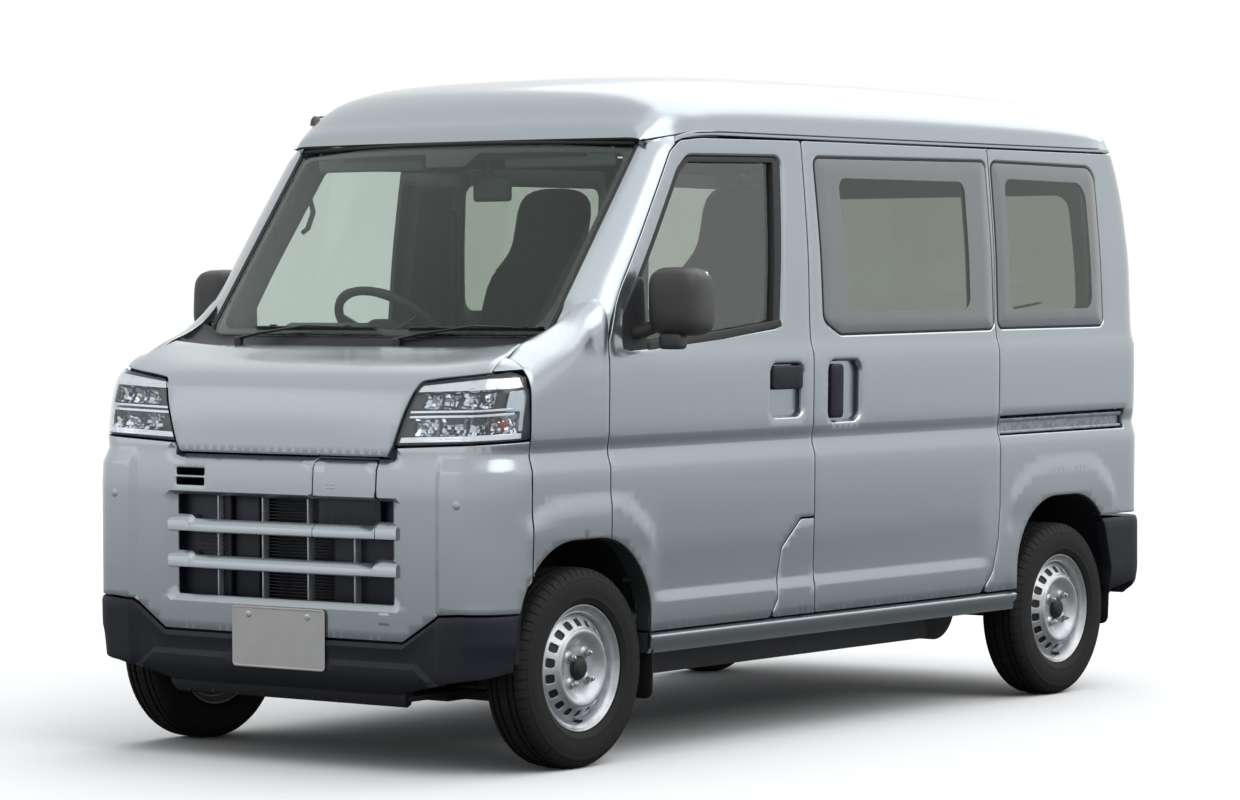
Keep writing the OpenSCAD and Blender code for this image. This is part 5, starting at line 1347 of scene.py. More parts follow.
# Lips that join the outer shell to the inner one
first, last = roof_ring(roof_y[0]), roof_ring(roof_y[-1])
lofted(roof, [first, first - (0, -9, 5), inner[0] - (0, 0, 2)], closed=False, caps=False, mark=1)
lofted(roof, [inner[-1] - (0, 0, 2), last - (0, 8, 3), last], closed=False, caps=False, mark=1)
for k in (0, -1):
    outer_edge = np.array([roof_ring(y)[k] for y in roof_y])
    inner_edge = np.array([r[k] - (0, 0, 2) for r in inner])
    line = np.array([[np.interp(y, inner_edge[:, 1], inner_edge[:, 0]), y,
            np.interp(y, inner_edge[:, 1], inner_edge[:, 2])] for y in outer_edge[:, 1]])
    lofted(roof, [outer_edge, outer_edge - (math.copysign(1.5, outer_edge[10][0]), 0, 3), line],
        closed=False, caps=False, mark=1)
# Two shallow swages along the roof
for x in (-300, 300):
    path = [(x, y, float(roof_ring(y)[np.argmin(np.abs(roof_ring(y)[:, 0] - x))][2]) - 2.5)
        for y in np.linspace(-420, 1330, 40)]
    tube(roof, path, [2.5] + [7] * 38 + [2.5], 10, flat=0.62)
roof.make("roof_shell", [paint, headliner], "root", "paint", stands_for=["roof_cap"], sharp=26)

gutter = Shape()
for sign in (1, -1):
    path = []
    for y in np.linspace(-896, 1556, 90):
        edge = roof_ring(y)[0]
        path.append((sign * (edge[0] - 1.5), edge[1], edge[2] - 2.5))
    tube(gutter, path, 4.2, 8, flat=0.6)
gutter.make("roof_seal", [rubber], "root", "black_plastic")
aerial = Shape()
lofted(aerial, [[(-638 + r * math.cos(a) - 0.3 * h, -800 + 1.5 * r * math.sin(a) + 0.2 * h, 1762 + h)
        for a in around(16)] for r, h in ((15, -8), (14, 2), (11, 12), (7, 18), (3, 21))])
aerial.make("aerial_base", [mirror_plastic], "root", "black_plastic")
rod = Shape()
tube(rod, [(-646, -797, 1774), (-652, -780, 1779), (-660, -740, 1783), (-662, -600, 1789)],
    [3.4, 3, 2.6, 2.2], 10)
rod.make("aerial_rod", [rubber], "root", "black_plastic")

# ---------------------------------------------------------------- windscreen, cowl and wipers
screen_line = loop([(-SCREEN_X, 0, 40), (SCREEN_X, 0, 40), (SCREEN_X, SCREEN_UP, 36),
        (-SCREEN_X, SCREEN_UP, 36)], 22)
panel_piece("windscreen_pane", screen_skin, inset(turned(screen_line), 3), [clear_glass], "root", "glass",
    stands_for=["windscreen"], sharp=40, rim=rolled(1, 5), step=(60, 60))
moulding = Shape()
clear_area = loop([(-566, 26, 60), (566, 26, 60), (584, 120, 60), (584, 640, 36), (566, 668, 26),
        (96, 668, 10), (70, 618, 10), (-70, 618, 10), (-96, 668, 10), (-566, 668, 26), (-584, 640, 36),
        (-584, 120, 60)], 18)
panel(moulding, deeper(screen_skin, 6.4), inset(turned(screen_line), 1), [clear_area], rolled(0.5, 2.0),
    (50, 50))
for x in (-SCREEN_X - 2, SCREEN_X + 2):
    tube(moulding, screen_point(np.full(40, x), np.linspace(14, 690, 40)) + (0, 1, -2), 6.5, 10, mark=1)
tube(moulding, screen_point(np.linspace(-600, 600, 40), np.full(40, 701.0)) + (0, 0, -1), 6.0, 10, mark=1)
moulding.make("windscreen_frit", [frit, rubber], "root", "black_plastic", sharp=50)

cowl = Shape()
rows = []
for x in np.linspace(-640, 640, 65):
    # The rear edge follows the windscreen's foot
    rear = float(-1392 + 92 * (np.clip(x, -SCREEN_X, SCREEN_X) / SCREEN_X) ** 2) + 12
    lift = 34 * np.clip((abs(x) - 540) / 90, 0, 1) ** 1.4
    front = HOOD_REAR + 6
    rows.append([(x, front + 3, 1100), (x, front, 1113 + lift * 0.3), (x, front + 5, 1119 + lift * 0.35),
            (x, front + 22, 1122 + lift * 0.6), (x, front + 26, 1115 + lift * 0.6),
            (x, 0.5 * (front + rear), 1116 + lift * 0.8), (x, rear - 14, 1136 + lift),
            (x, rear - 4, 1146 + lift), (x, rear + 6, 1143 + lift), (x, rear + 6, 1100)])
lofted(cowl, rows)
for side in (1, -1):
    tube(cowl, [(side * x, HOOD_REAR - 3, 1119) for x in (500, 520, 540)], 4, 12)
    rounded_box(cowl, (side * 520 - 20, HOOD_REAR - 3, 1116), (side * 520 + 20, HOOD_REAR + 12, 1120), 1.5)
cowl.make("cowl_panel", [black_plastic], "root", "black_plastic", stands_for=["cowl"], sharp=40)

for name, pivot, tip in (("right", -408, 30), ("left", 168, 585)):
    wiper = Shape()
    base = np.array([pivot, HOOD_REAR + 24, 1138.0])
    tube(wiper, [base - (0, 0, 26), base, base + (0, 0, 3), base + (0, 0, 7)], [13, 13, 12, 6], 20)
    mid = screen_point(0.5 * (pivot + tip) + 20, 24) + (0, -10, 8)
    end = screen_point(tip - 70, 16) + (0, -11, 11)
    tube(wiper, [base + (0, 0, 2), 0.7 * base + 0.3 * mid + (0, -2, 5), mid, end], [9, 7.5, 6, 4.5], 8,
        flat=0.55)
    blade_a, blade_b = pivot + 20, tip + 60
    spine = [screen_point(min(max(a, -600), 600), 20.0) + (0, -9.5, 6.5)
        for a in np.linspace(blade_a, blade_b, 24)]
    tube(wiper, spine, [2] + [4.2] * 22 + [2], 6, flat=0.8)
    edge = [screen_point(min(max(a, -600), 600), 18.0) + (0, -3.5, 2.0)
        for a in np.linspace(blade_a + 6, blade_b - 6, 24)]
    tube(wiper, edge, 2.2, 6, mark=1, flat=1.6)
    for share in (0.2, 0.5, 0.8):
        p = spine[int(share * 23)]
        rounded_box(wiper, p - (12, 4, 1), p + (12, 4, 7), 2)
    wiper.make(f"wiper_{name}", [black_plastic, rubber], "root", "black_plastic")

# ---------------------------------------------------------------- side glass with printed borders
frit_grey = finish("ceramic_frit_under_tint", "74797B", 0.0, 0.22, spread=(120, "6D7274", 0.5), coat=0.8)
for side, mirror in SIDES:
    for name, outline, hole, node_name in (("sliding", sliding_window,
            loop([(-38, 1592, 34), (SLIDE_Y - 146, 1592, 34), (SLIDE_Y - 140, 1206, 40), (-20, 1206, 40)],
            14), "sliding_door_glass"), ("quarter", quarter_window,
            loop([(SLIDE_Y + 86, 1606, 34), (SLIDE_Y + 86, 1204, 34), (1366, 1206, 40), (1350, 1600, 60)],
            14), "quarter_glass")):
        pane = Shape()
        edge = inset(turned(outline), 3.5)
        panel(pane, deeper(side_skin, 1.2), edge, [(hole, [(0, 0), (0, 0.6)])],
            [(1.5, 0), (0.5, 0.5), (0, 1.6), (0, 5)], (50, 50), marks=(0, 0))
        inner = inset(turned(hole), 0.2)
        panel(pane, deeper(side_skin, 1.4), inner, rim=[(0, 0), (0, 4.5)], step=(60, 60), marks=(1, 1))
        pane.make(f"{name}_pane_{side}", [frit_grey, privacy_glass], "root", "dark_glass", mirror,
            stands_for=[node_name] if side == "left" else ())
        outer, inner = ring_of(outline, 5.5, -1.5)
        panel_piece(f"{name}_window_seal_{side}", deeper(side_skin, 2.2), outer, [rubber], "root",
            "black_plastic", mirror, holes=[inner], rim=rolled(0.8, 12), step=(40, 40))


# ---------------------------------------------------------------- tailgate, rear lamps and bumper
def gate_surface(x, z):
    """The tailgate, with its recess for the plate."""
    on = np.maximum(SKIN_X + side_base(z) - TAIL_R - np.abs(x), 0)
    y = REAR_Y + tail_form(z) - 10 + 9 * np.clip(on / 640, 0, 1)
    recess = np.clip(np.minimum(np.minimum(240 - np.abs(x), z - 700), 862 - z) / 14, 0, 1)
    return np.stack([x, y - 16 * recess, z], -1)


gate_skin = with_depth(gate_surface, facing(0, 1.0, 0))
gate_line = loop(both([(0, 1697), (575, 1697, 30), (604, 1560, 40), (630, 1100, 60), (630, GATE_LOW, 14),
        (0, GATE_LOW)]), 18)
gate_window = loop(both([(0, 1612), (516, 1612, 46), (530, 1140, 46), (0, 1140)]), 18)
gate = Shape()
panel(gate, gate_skin, shut(gate_line), [(gate_window, [(12, 0), (10, 0.6), (3, 4), (0, 8), (0, DOOR_T)])],
    door_rim, (34, 30), rows=(700, 714, 848, 862, 792, 806, 1060, 1076), columns=(-240, -226, 226, 240),
    marks=(0, 1))
gate.make("tailgate_skin", [paint, trim], "tailgate", "paint", stands_for=["tailgate"], sharp=26)
pane = Shape()
clear_part = loop(both([(0, 1570), (470, 1570, 50), (486, 1180, 50), (0, 1180)]), 18)
border = inset(turned(gate_window), 3)
panel(pane, deeper(gate_skin, 5), border, [(clear_part, [(0, 0), (0, 0.6)])], rolled(1, 5), (60, 60))
panel(pane, deeper(gate_skin, 5.4), clear_part, rim=[(0, 0), (0, 4)], step=(60, 60), marks=(1, 1))
pane.make("tailgate_pane", [frit, privacy_glass], "tailgate", "dark_glass", stands_for=["tailgate_glass"])
rear_wiper = Shape()
tube(rear_wiper, [(0, 1620, 1128), (0, 1666, 1128), (0, 1672, 1128)], [14, 14, 8], 16)
tube(rear_wiper, [(0, 1668, 1128), (70, 1664, 1150), (170, 1656, 1180), (230, 1653, 1192)], [8, 7, 5, 4], 8)
tube(rear_wiper, [(60 + 17 * k, 1657, 1170 + 3 * k) for k in range(18)], [2] + [4.5] * 16 + [2], 6)
rear_wiper.make("rear_wiper", [black_plastic], "tailgate", "black_plastic")
handle_line = loop([(-95, 842), (95, 842), (95, 880), (-95, 880)], 10, 12)
panel_piece("tailgate_handle", deeper(gate_skin, -4), handle_line, [bumper_plastic], "tailgate",
    "black_plastic", rim=[(7, 0), (4, 0.7), (1, 3), (0, 7), (0, 24)], step=(30, 20))
rear_plate = loop([(-165, 712), (165, 712), (165, 836), (-165, 836)], 20, 10)
panel_piece("rear_plate_blank", deeper(gate_skin, -2), rear_plate, [plate_paint], "tailgate", "plate",
    rim=[(3, 0), (1, 0.5), (0, 1.4), (0, 3)], step=(50, 50))

for side, sign in SIGNS:
    lamp = Shape()
    outline = loop([(u_at_turn(LAMP_HIGH, LAMP_TURN), LAMP_HIGH, 16),
            (u_at_x(GATE_LINE(LAMP_HIGH) + 4, LAMP_HIGH), LAMP_HIGH, 6),
            (u_at_x(GATE_LINE(LAMP_LOW) + 4, LAMP_LOW), LAMP_LOW, 6),
            (u_at_turn(LAMP_LOW, LAMP_TURN), LAMP_LOW, 16)], 12)
    panel(lamp, deeper(tail_skin, -1.5), shut(outline, 3), rim=[(5, 0), (3, 0.6), (1, 2.2), (0, 5), (0, 40)],
        step=(12, 14), marks=(0, 1))
    # Amber indicator over the reversing lamp
    for middle, high, low, mark in ((740, 790, 700, 2), (630, 680, 600, 3)):
        turn_u, inner_u = u_at_turn(middle, 0.5), u_at_x(640, middle)
        lens = loop([(turn_u, high, 8), (inner_u, high, 6), (inner_u, low, 6), (turn_u, low, 8)], 12)
        lens_rim = [(2, 0), (0.6, 0.6), (0, 1.6), (0, 6)]
        panel(lamp, deeper(tail_skin, -3.2), lens, rim=lens_rim, step=(12, 12), marks=(mark, mark))
    lamp.make(f"tail_lamp_{side}", [red_lens, lamp_black, amber, chrome], "root", "red_lens", sign < 0,
        stands_for=["tail_lamps"] if sign > 0 else ())


BUMPER_R = 115.0
BUMPER_ARC = BUMPER_R * math.pi / 2


def rear_bumper_surface(u, z):
    """u runs from the rear arch along the side, round the corner and over to the middle."""
    half = HALF_W - 1 - 14 * ease(380 - z, 0, 95)
    start = REAR_Y - BUMPER_R - 1
    turned_by = np.clip((u - start) / BUMPER_ARC, 0, 1)
    a = turned_by * math.pi / 2
    on = np.maximum(u - start - BUMPER_ARC, 0)
    tuck = 26 * ease(330 - z, 0, 45) + 6 * np.clip((z - 524) / 16, 0, 1)
    x = half - BUMPER_R * (1 - np.cos(a)) - on - tuck * np.cos(a)
    y = np.minimum(u, start) + BUMPER_R * np.sin(a) - tuck * np.sin(a) - 11 * (1
        - ease(on, 0, 560)) * turned_by
    return np.stack([x, y, z + 0 * u], -1)


rear_skin = with_depth(rear_bumper_surface, away_from(700))
BUMPER_END = REAR_Y - BUMPER_R - 1 + BUMPER_ARC + 621.5
for side, mirror in SIDES:
    outline = loop([(1396, 540, 6), (BUMPER_END, 540), (BUMPER_END, 286), (1680, 286, 40), (1584, 332, 40),
            (1445, 300, 8), (1445, 380, 20), (1418, 470, 40)], 14)
    panel_piece(f"rear_bumper_skin_{side}", rear_skin, outline, [bumper_plastic], "root", "bumper_plastic",
        mirror, ["rear_bumper"] if side == "left" else (), rim=rolled(3, 34), step=(28, 22),
        rows=(330, 384, 524))

# ---------------------------------------------------------------- door mirrors
for side, mirror in SIDES:
    housing = Shape()
    turn = turn_about("Z", 8)
    centre = np.array([830.0, -1000.0, 1240.0])
    half_w, half_h, roundness, points = 79, 93, 2 / 4.2, 36
    rings = []
    for depth, grow in ((-66, 0.30), (-64, 0.62), (-56, 0.82), (-42, 0.93), (-20, 0.99), (10, 1.0),
                        (40, 0.985), (52, 0.96), (52, 0.90), (34, 0.88)):
        ring = []
        for k in range(points):
            a = 2 * math.pi * k / points
            x = bent(math.cos(a), roundness) * half_w * grow
            z = bent(math.sin(a), roundness) * half_h * grow
            x += -10 * (z / half_h) * (0.5 if x > 0 else 0.1)
            ring.append(centre + turn @ np.array([x, depth, z]))
        rings.append(ring)
    lofted(housing, rings)
    # Lower mirror in its own small housing
    rounded_box(housing, centre + (-34, -58, -128), centre + (34, -8, -84), 12, turn=turn)
    rounded_box(housing, centre + (-68, 28, -80), centre + (68, 36, 80), 8, mark=2, turn=turn, about=centre)
    # Arm and triangular foot in the window's corner
    arm = [(690, -1044, 1152), (716, -1042, 1156), (742, -1034, 1163), (770, -1024, 1176)]
    tube(housing, arm, [24, 24, 22, 22], 14, flat=0.8)
    panel(housing, deeper(side_skin, -1.0), loop([(-1116, 1106, 12), (-1112, 1205, 30), (-1004, 1342, 20),
            (-990, 1120, 20), (-1000, 1106, 10)], 10), rim=[(9, 0), (5, 1.0), (1.5, 4), (0, 9), (0, 16)],
        step=(16, 16), marks=(1, 1))
    housing.make(f"door_mirror_{side}", [mirror_plastic, black_plastic, mirror_glass], f"door_{side}",
        "black_plastic", mirror, stands_for=[f"mirror_{side}"], sharp=40)


# ---------------------------------------------------------------- wheels
# Black electrocoat on the unseen back of the steel disc
electrocoat = finish("black_electrocoat", "0B0C0D", 0.0, 0.6)
VENTS, NUTS, SIPES = 18, 4, 62
TURNS = VENTS * 6
flange = [(40, 167), (48, 169.6), (56.5, 170), (58.8, 168.8), (59, 167), (57, 164.8), (51, 161.8),
    (47, 157.5), (44.5, 152), (40, 149.4), (34, 148.6), (20, 147), (10, 144.5), (2, 138), (-8, 134),
    (-28, 135), (-38, 146), (-46, 151), (-52, 158), (-56, 165), (-58.5, 167.4), (-58.5, 169.4), (-54, 170),
    (-48, 168)]
barrel = flange + [(x * 0.97, r - 3.4) for x, r in reversed(flange[8:-6])]
cone = ((34.0, 138.0), (60.0, 106.0))
dish = profile([(31.5, 45.0), (58, 45.2), (64, 46.0), (70, 48.6), (78, 54.5), (86, 61.2), (92, 64.8),
        (97, 66.2), (101, 65.6), (104, 63.2), (106, 60.0)])
dish_r = [106 - d for d in (0, 1, 2, 3.5, 5, 7, 9, 12, 15, 18, 22, 26, 30, 34, 38, 42, 46, 50, 62, 74.5)]


def on_wheel(x, r, angle, centre, side):
    """Points of a wheel from places along its axle, radii and angles."""
    x, r, angle = np.broadcast_arrays(np.asarray(x, float), np.asarray(r, float), np.asarray(angle, float))
    return np.stack([centre[0] + side * x, centre[1] + r * np.sin(angle), centre[2] + r * np.cos(angle)], -1)


def make_wheel(name, body, side, y):
    """A pressed steel wheel with its nuts, hub cap and valve."""
    centre = (side * WHEEL_X, y, TYRE_R)
    wheel = Shape()
    spun(wheel, barrel, centre, side, TURNS, closed=True)
    # Sloped wall of the disc with its rounded vents
    run = np.linspace(-1, 1, 7)[:-1]
    edge = np.array([(-1, t) for t in run] + [(t, 1) for t in run] + [(1, -t) for t in run]
        + [(-t, -1) for t in run])
    hole = np.array([(bent(math.cos(a), 0.5) * 0.56, bent(math.sin(a), 0.5) * 0.6)
                     for a in (math.atan2(v, u) for u, v in edge)])
    (x0, r0), (x1, r1) = cone
    for k in range(VENTS):
        rings = []
        for share, depth in ((1.0, 0), (0.5, 0), (0.14, 0), (0.05, 0.7), (0.0, 2.2), (0.0, 5.0)):
            p = hole + (edge - hole) * share
            t = 0.5 + 0.5 * p[:, 1]
            angle = (k + 0.5 * p[:, 0]) * 2 * math.pi / VENTS
            rings.append(on_wheel(x0 + (x1 - x0) * t - depth * 0.8, r0 + (r1 - r0) * t - depth * 0.6, angle,
                    centre, side))
        lofted(wheel, rings, caps=False)
    front = [(25, 147.4), (29, 144.0), (32, 140.4), cone[0]]
    spun(wheel, front, centre, side, TURNS)
    spun(wheel, [(float(dish(r)), r) for r in dish_r] + [(41, 31.5), (39, 31.2)], centre, side, TURNS)
    spun(wheel, [(22, 147.1), (26, 140), (30, 135), (54, 105), (59, 101), (59, 96), (50, 84), (43, 74),
            (39.5, 66), (39, 58), (39, 31.2)], centre, side, TURNS, mark=3)
    for k in range(NUTS):
        angle = (k + 0.42) * 2 * math.pi / NUTS
        middle = on_wheel(45, 50, angle, centre, side)
        spun(wheel, [(-1, 19), (0.6, 17.5), (4.5, 13.5), (5.5, 12), (5.5, 0.5)], middle, side, 20)
        spun(wheel, [(5, 11), (6.5, 10.6), (7, 9.8)], middle, side, 24, mark=1)
        spun(wheel, [(7, 9.8), (17, 9.6), (19, 8.4), (19, 5.4)], middle, side, 6, mark=1)
        spun(wheel, [(19, 5.4), (25, 5.2), (26.5, 3.8), (26.5, 0.3)], middle, side, 16, mark=1)
    spun(wheel, [(44.9, 33.5), (47, 33), (48, 31.6), (48, 29.6), (54, 29), (57, 27), (57.8, 24.4), (60, 23),
            (62.5, 18), (63.2, 9), (63.2, 0.4)], centre, side, 48, mark=2)
    valve = [tuple(on_wheel(x, r, math.pi * 0.985, centre, side)) for x,
        r in ((27, 146), (36, 145), (45, 143), (48, 142.5), (55, 141.5))]
    tube(wheel, valve, [7, 6, 5, 4, 3.8], 12, mark=2)
    wheel.make(name, [wheel_paint, zinc, rubber, electrocoat], body, "wheel_steel",
        stands_for=[name.replace("wheel_disc", "rim")], sharp=34)


half_tyre = [(57, 170.2, 0), (62, 172, 0), (66.5, 178, 0), (69.6, 186, 0), (70.6, 187.5, 0),
    (70.2, 190.5, 0), (71.6, 200, 0), (72.4, 211, 0), (72.0, 222, 0), (70.6, 232, 0), (68.9, 239.5, 0),
    (69.0, 241.5, 0), (67.2, 243.5, 0), (64.6, 249, 0.5), (61.5, 255, 1), (57, 260.5, 1), (51, 264.4, 1),
    (45, 266.6, 1), (40, 267.2, 1), (39.2, 260.5, 0), (34.2, 260.5, 0), (33.4, 267.5, 0.45),
    (21, 267.9, 0.45), (20.2, 260.5, 0), (13.2, 260.5, 0), (12.4, 268, 0.45), (0, 268, 0.45)]


def make_tyre(name, body, side, y):
    """A tyre with three grooves, and sipes cut across its ribs."""
    centre = (side * WHEEL_X, y, TYRE_R)
    outline = half_tyre + [(-x, r, g) for x, r, g in reversed(half_tyre[:-1])]
    xs, rs, cut = np.array(outline).T
    tyre = Shape()
    period = 2 * math.pi / SIPES
    rings = []
    for k in range(SIPES):
        for share, deep in ((0.0, 0), (0.02, 1), (0.1, 1), (0.12, 0), (0.4, 0), (0.7, 0)):
            skew = np.where(np.abs(xs) < 41, 0.35 * period * np.sign(xs)
                * np.clip(np.abs(xs) / 20 - 1, -1, 1), 0)
            angle = (k + share) * period + skew * (np.array(cut) > 0)
            rings.append(on_wheel(xs, rs - deep * cut * 5.0, angle, centre, side))
    rings.append(rings[0])
    lofted(tyre, rings, closed=False, caps=False)
    # Inner surface of the tyre closes the shell
    spun(tyre, [(57, 170.2), (40, 171), (0, 171), (-40, 171), (-57, 170.2)], centre, side, 96)
    tyre.make(name, [tyre_rubber], body, "tyre", stands_for=[name.replace("tread", "tyre")], sharp=30)


for axle, y in (("front", FRONT_AXLE), ("rear", REAR_AXLE)):
    for side, sign in SIGNS:
        make_wheel(f"wheel_disc_{axle}_{side}", f"wheel_{axle}_{side}", sign, y)
        make_tyre(f"tread_{axle}_{side}", f"wheel_{axle}_{side}", sign, y)

# ---------------------------------------------------------------- arch liners and mud flaps
liner_navy = finish("polypropylene_liner", "15171F", 0.0, 0.7, grain=(2, 0.2), spread=(60, "101219", 0.6))
for side, mirror in SIDES:
    liner = Shape()
    for axle, top, room, foot, inner in ((FRONT_AXLE, FRONT_ARCH, 24, 300, 412),
        (REAR_AXLE, REAR_ARCH, 4, 300, 470)):
        rows = []
        for x, grow in ((727.5, -0.6), (728, 1.2), (722, 2.5), (709, 6 if room > 10 else 3), (700, room),
            (inner, room + 1), (inner, room + 4), (700, room + 3.5), (712, 9 if room > 10 else 6),
            (722, 5.5)):
            rows.append([(x, *p) for p in arch_line(axle, top, grow, foot)])
        rows.append(rows[0])
        lofted(liner, rows, closed=False, caps=False)
        wall = arch_line(axle, top, room + 3, foot)
        lofted(liner, [[(x, *p) for p in wall] for x in (inner - 4, inner)])
    liner.make(f"arch_liners_{side}", [liner_navy], "root", "black_plastic", mirror, sharp=40)
    flaps = Shape()
    for y, low in ((-981, 161), (1452, 200)):

        def upright(u, v, depth, y=y):
            return np.stack([u, y + np.asarray(depth) + np.zeros(len(u)), v], -1)

        flap = loop([(566, low, 26), (716, low, 26), (722, 350, 8), (560, 350, 8)], 20)
        panel(flaps, upright, flap, rim=rolled(1, 4.5), step=(60, 60))
        rounded_box(flaps, (580, y - 3, 318), (704, y + 7, 330), 2)
    flaps.make(f"mud_flaps_{side}", [rubber], "root", "black_plastic", mirror)

# ---------------------------------------------------------------- headlamps
lamp_glass = glazing("clear_polycarbonate_lens", "F5F8FA", 0.04)
side_silver = finish("metallised_side_bezel", "D9DDE0", 0.7, 0.25, spread=(40, "CDD2D6", 0.5))


for side, mirror in SIDES:
    lens_line = loop([(389, 861, 6), (454, 1034, 24), (650, 1058, 30)]
        + [(s_at_y(FASCIA_Y - 22, 1066), 1065, 8), (s_at_y(FASCIA_Y, 1050), 1050, 16)]
        + at_corner([1000, 940]) + [(s_at_y(FASCIA_Y, 881), 881, 10)], 14)
    outer = shut(lens_line, GAP + 1)
    panel_piece(f"lamp_lens_{side}", deeper(nose_skin, 1.0), outer, [lamp_glass], "root", "lens", mirror,
        ["headlamps"] if side == "left" else (), 50, rim=[(3, 0), (1.6, 0.3), (0.4, 1.4), (0, 3), (0, 6)],
        step=(24, 20))
    inner = Shape()
    # Housing, then bright strips, wedges, reflectors and the indicator
    panel(inner, deeper(nose_skin, 46), inset(outer, -1.5), rim=[(0, 0), (0, 4)])
    wall = turned(inset(outer, 0.5))
    lofted(inner, [nose_skin(*wall.T, np.full(len(wall), d)) for d in (3.0, 8.0, 52.0)], caps=False)
    side_end = s_at_y(FASCIA_Y - 8, 980)

    def strip(points, depth, mark, thick=10, radius=2.0):
        """A bar or wedge at a depth inside the lamp."""
        form = loop(points, 10, radius)
        panel(inner, deeper(nose_skin, depth), form, rim=rolled(1.5, thick), step=(16, 10),
            marks=(mark, mark))

    strip([(446, 1008), (455, 1027), (648, 1048), (s_at_y(FASCIA_Y - 22, 1050), 1050),
            (s_at_y(FASCIA_Y - 14, 1022), 1020), (650, 1016)], 7, 1, 16)
    strip([(433, 951), (436, 959), (side_end - 40, 968), (side_end - 40, 961)], 8, 1, 26)
    strip([(429, 938), (432, 946), (side_end - 30, 956), (side_end - 30, 948)], 11, 1, 24)
    strip([(403, 872), (410, 888), (side_end - 6, 902), (side_end - 6, 886)], 7, 1, 30)
    strip([(398, 864), (402, 870), (side_end - 4, 884), (side_end - 4, 880)], 9, 2, 20)
    # Pale outer wall of the lamp
    strip([(738, 958), (738, 1012), (side_end, 1016), (side_end, 905), (782, 905), (782, 958)], 12, 3, 30, 5)
    # Dark wedges at the inner end
    strip([(434, 962), (447, 1006), (478, 1008), (466, 963)], 12, 2, 30, 1)
    strip([(410, 890), (429, 936), (452, 937), (446, 912), (452, 891)], 12, 2, 30, 1)
    strip([(702, 966), (708, 1014), (732, 1014), (728, 967)], 10, 2, 30, 3)

    def reflector(a0, a1, z0, z1, depth, cut, seed):
        """A bright bowl whose surface is broken into facets."""
        us, vs = np.linspace(a0, a1, cut[0] + 1), np.linspace(z0, z1, cut[1] + 1)
        rng = np.random.default_rng(seed)
        for i in range(cut[0]):
            for j in range(cut[1]):
                tilt_u, tilt_v = rng.uniform(-4, 4), rng.uniform(-5, 5)
                quad = []
                for u, v in ((us[i], vs[j]), (us[i + 1], vs[j]), (us[i + 1], vs[j + 1]), (us[i], vs[j + 1])):
                    nu, nv = (u - (a0 + a1) / 2) / (a1 - a0) * 2, (v - (z0 + z1) / 2) / (z1 - z0) * 2
                    d = 12 + depth * (1 - 0.55 * nu * nu - 0.45 * nv * nv)
                    d += tilt_u * (u - us[i]) / (us[i + 1] - us[i]) + tilt_v * (v - vs[j]) / (vs[j + 1]
                        - vs[j])
                    quad.append((u, v, min(d, 44)))
                q = np.array(quad)
                inner.add(nose_skin(q[:, 0], q[:, 1], q[:, 2]), [[0, 1, 2, 3]], 1)

    for k in range(4):
        a = 474 + 58 * k
        reflector(a, a + 52, 967 + 1.5 * k, 1006 + 2.2 * k, 26, (5, 4), 11 + k)
        strip([(a + 52, 966 + 1.5 * k), (a + 52, 1008 + 2 * k), (a + 57, 1008 + 2 * k),
                (a + 57, 966 + 1.5 * k)], 14, 2, 26, 0.5)
    for k, (a, b) in enumerate(((452, 526), (532, 612), (618, 690))):
        reflector(a, b, 893 + 2 * k, 938 + 4 * k, 30, (9, 5), 31 + k)
    for a in (529, 615, 694):
        strip([(a - 3, 892), (a - 3, 942), (a + 3, 944), (a + 3, 892)], 14, 2, 26, 0.5)
    for a in (570, 652):
        strip([(a - 22, 925), (a - 22, 940), (a + 22, 944), (a + 22, 929)], 16, 2, 14, 2)
    # Indicator: a bright chamber with an amber bulb
    reflector(700, 776, 900, 950, 26, (6, 5), 51)
    bulb = nose_skin(np.array([738.0]), np.array([924.0]), np.array([20.0]))[0]
    lofted(inner, [[bulb + np.array((r * math.cos(a), -h, r * math.sin(a))) for a in around(16)] for h,
            r in ((-14, 7), (-6, 8), (2, 9), (8, 8), (11, 5), (12, 1))], mark=4)
    ring = [bulb + np.array((19 * math.cos(a), 9, 19 * math.sin(a))) for a in np.linspace(0, 2 * math.pi, 25)]
    tube(inner, ring, 1.8, 6, mark=1)
    inner.make(f"lamp_inside_{side}", [lamp_black, chrome, black_plastic, side_silver, amber], "root",
        "lens", mirror, sharp=20, turn=False)


# ---------------------------------------------------------------- cab: dashboard and steering wheel
def dash_profile(x):
    """Front to back over the top and down the face, with the hood over the dials on the right."""
    hood = ease(x, -560, -500) * (1 - ease(x, -215, -150))
    shelf = ease(x, 120, 180) * (1 - ease(x, 560, 610))
    bow, rear_bow = 18 * (x / 640) ** 2, 60 * (x / 640) ** 2
    return [(x, -1335 + rear_bow, 1096), (x, -1340 + rear_bow, 1122), (x, -1322 + rear_bow, 1133),
        (x, -1230, 1139), (x, -1120, 1139 + 18 * hood), (x, -1070, 1136 + 44 * hood - 6 * shelf),
        (x, -1030 + bow, 1128 + 48 * hood - 8 * shelf), (x, -1004 + bow, 1112 + 50 * hood - 10 * shelf),
        (x, -996 + bow, 1098 + 52 * hood), (x, -1004 + bow + 8 * shelf, 1084 + 20 * hood),
        (x, -1030 + bow + 20 * shelf, 1070), (x, -1026 + bow, 1010), (x, -1012 + bow, 960),
        (x, -1040 + bow, 905), (x, -1085, 872), (x, -1130, 862), (x, -1190, 870), (x, -1220, 1000)]


dash = Shape()
lofted(dash, [dash_profile(x) for x in np.concatenate([[-642, -638], np.linspace(-625, -90, 60),
        np.linspace(-80, 80, 9), np.linspace(100, 625, 40), [638, 642]])])
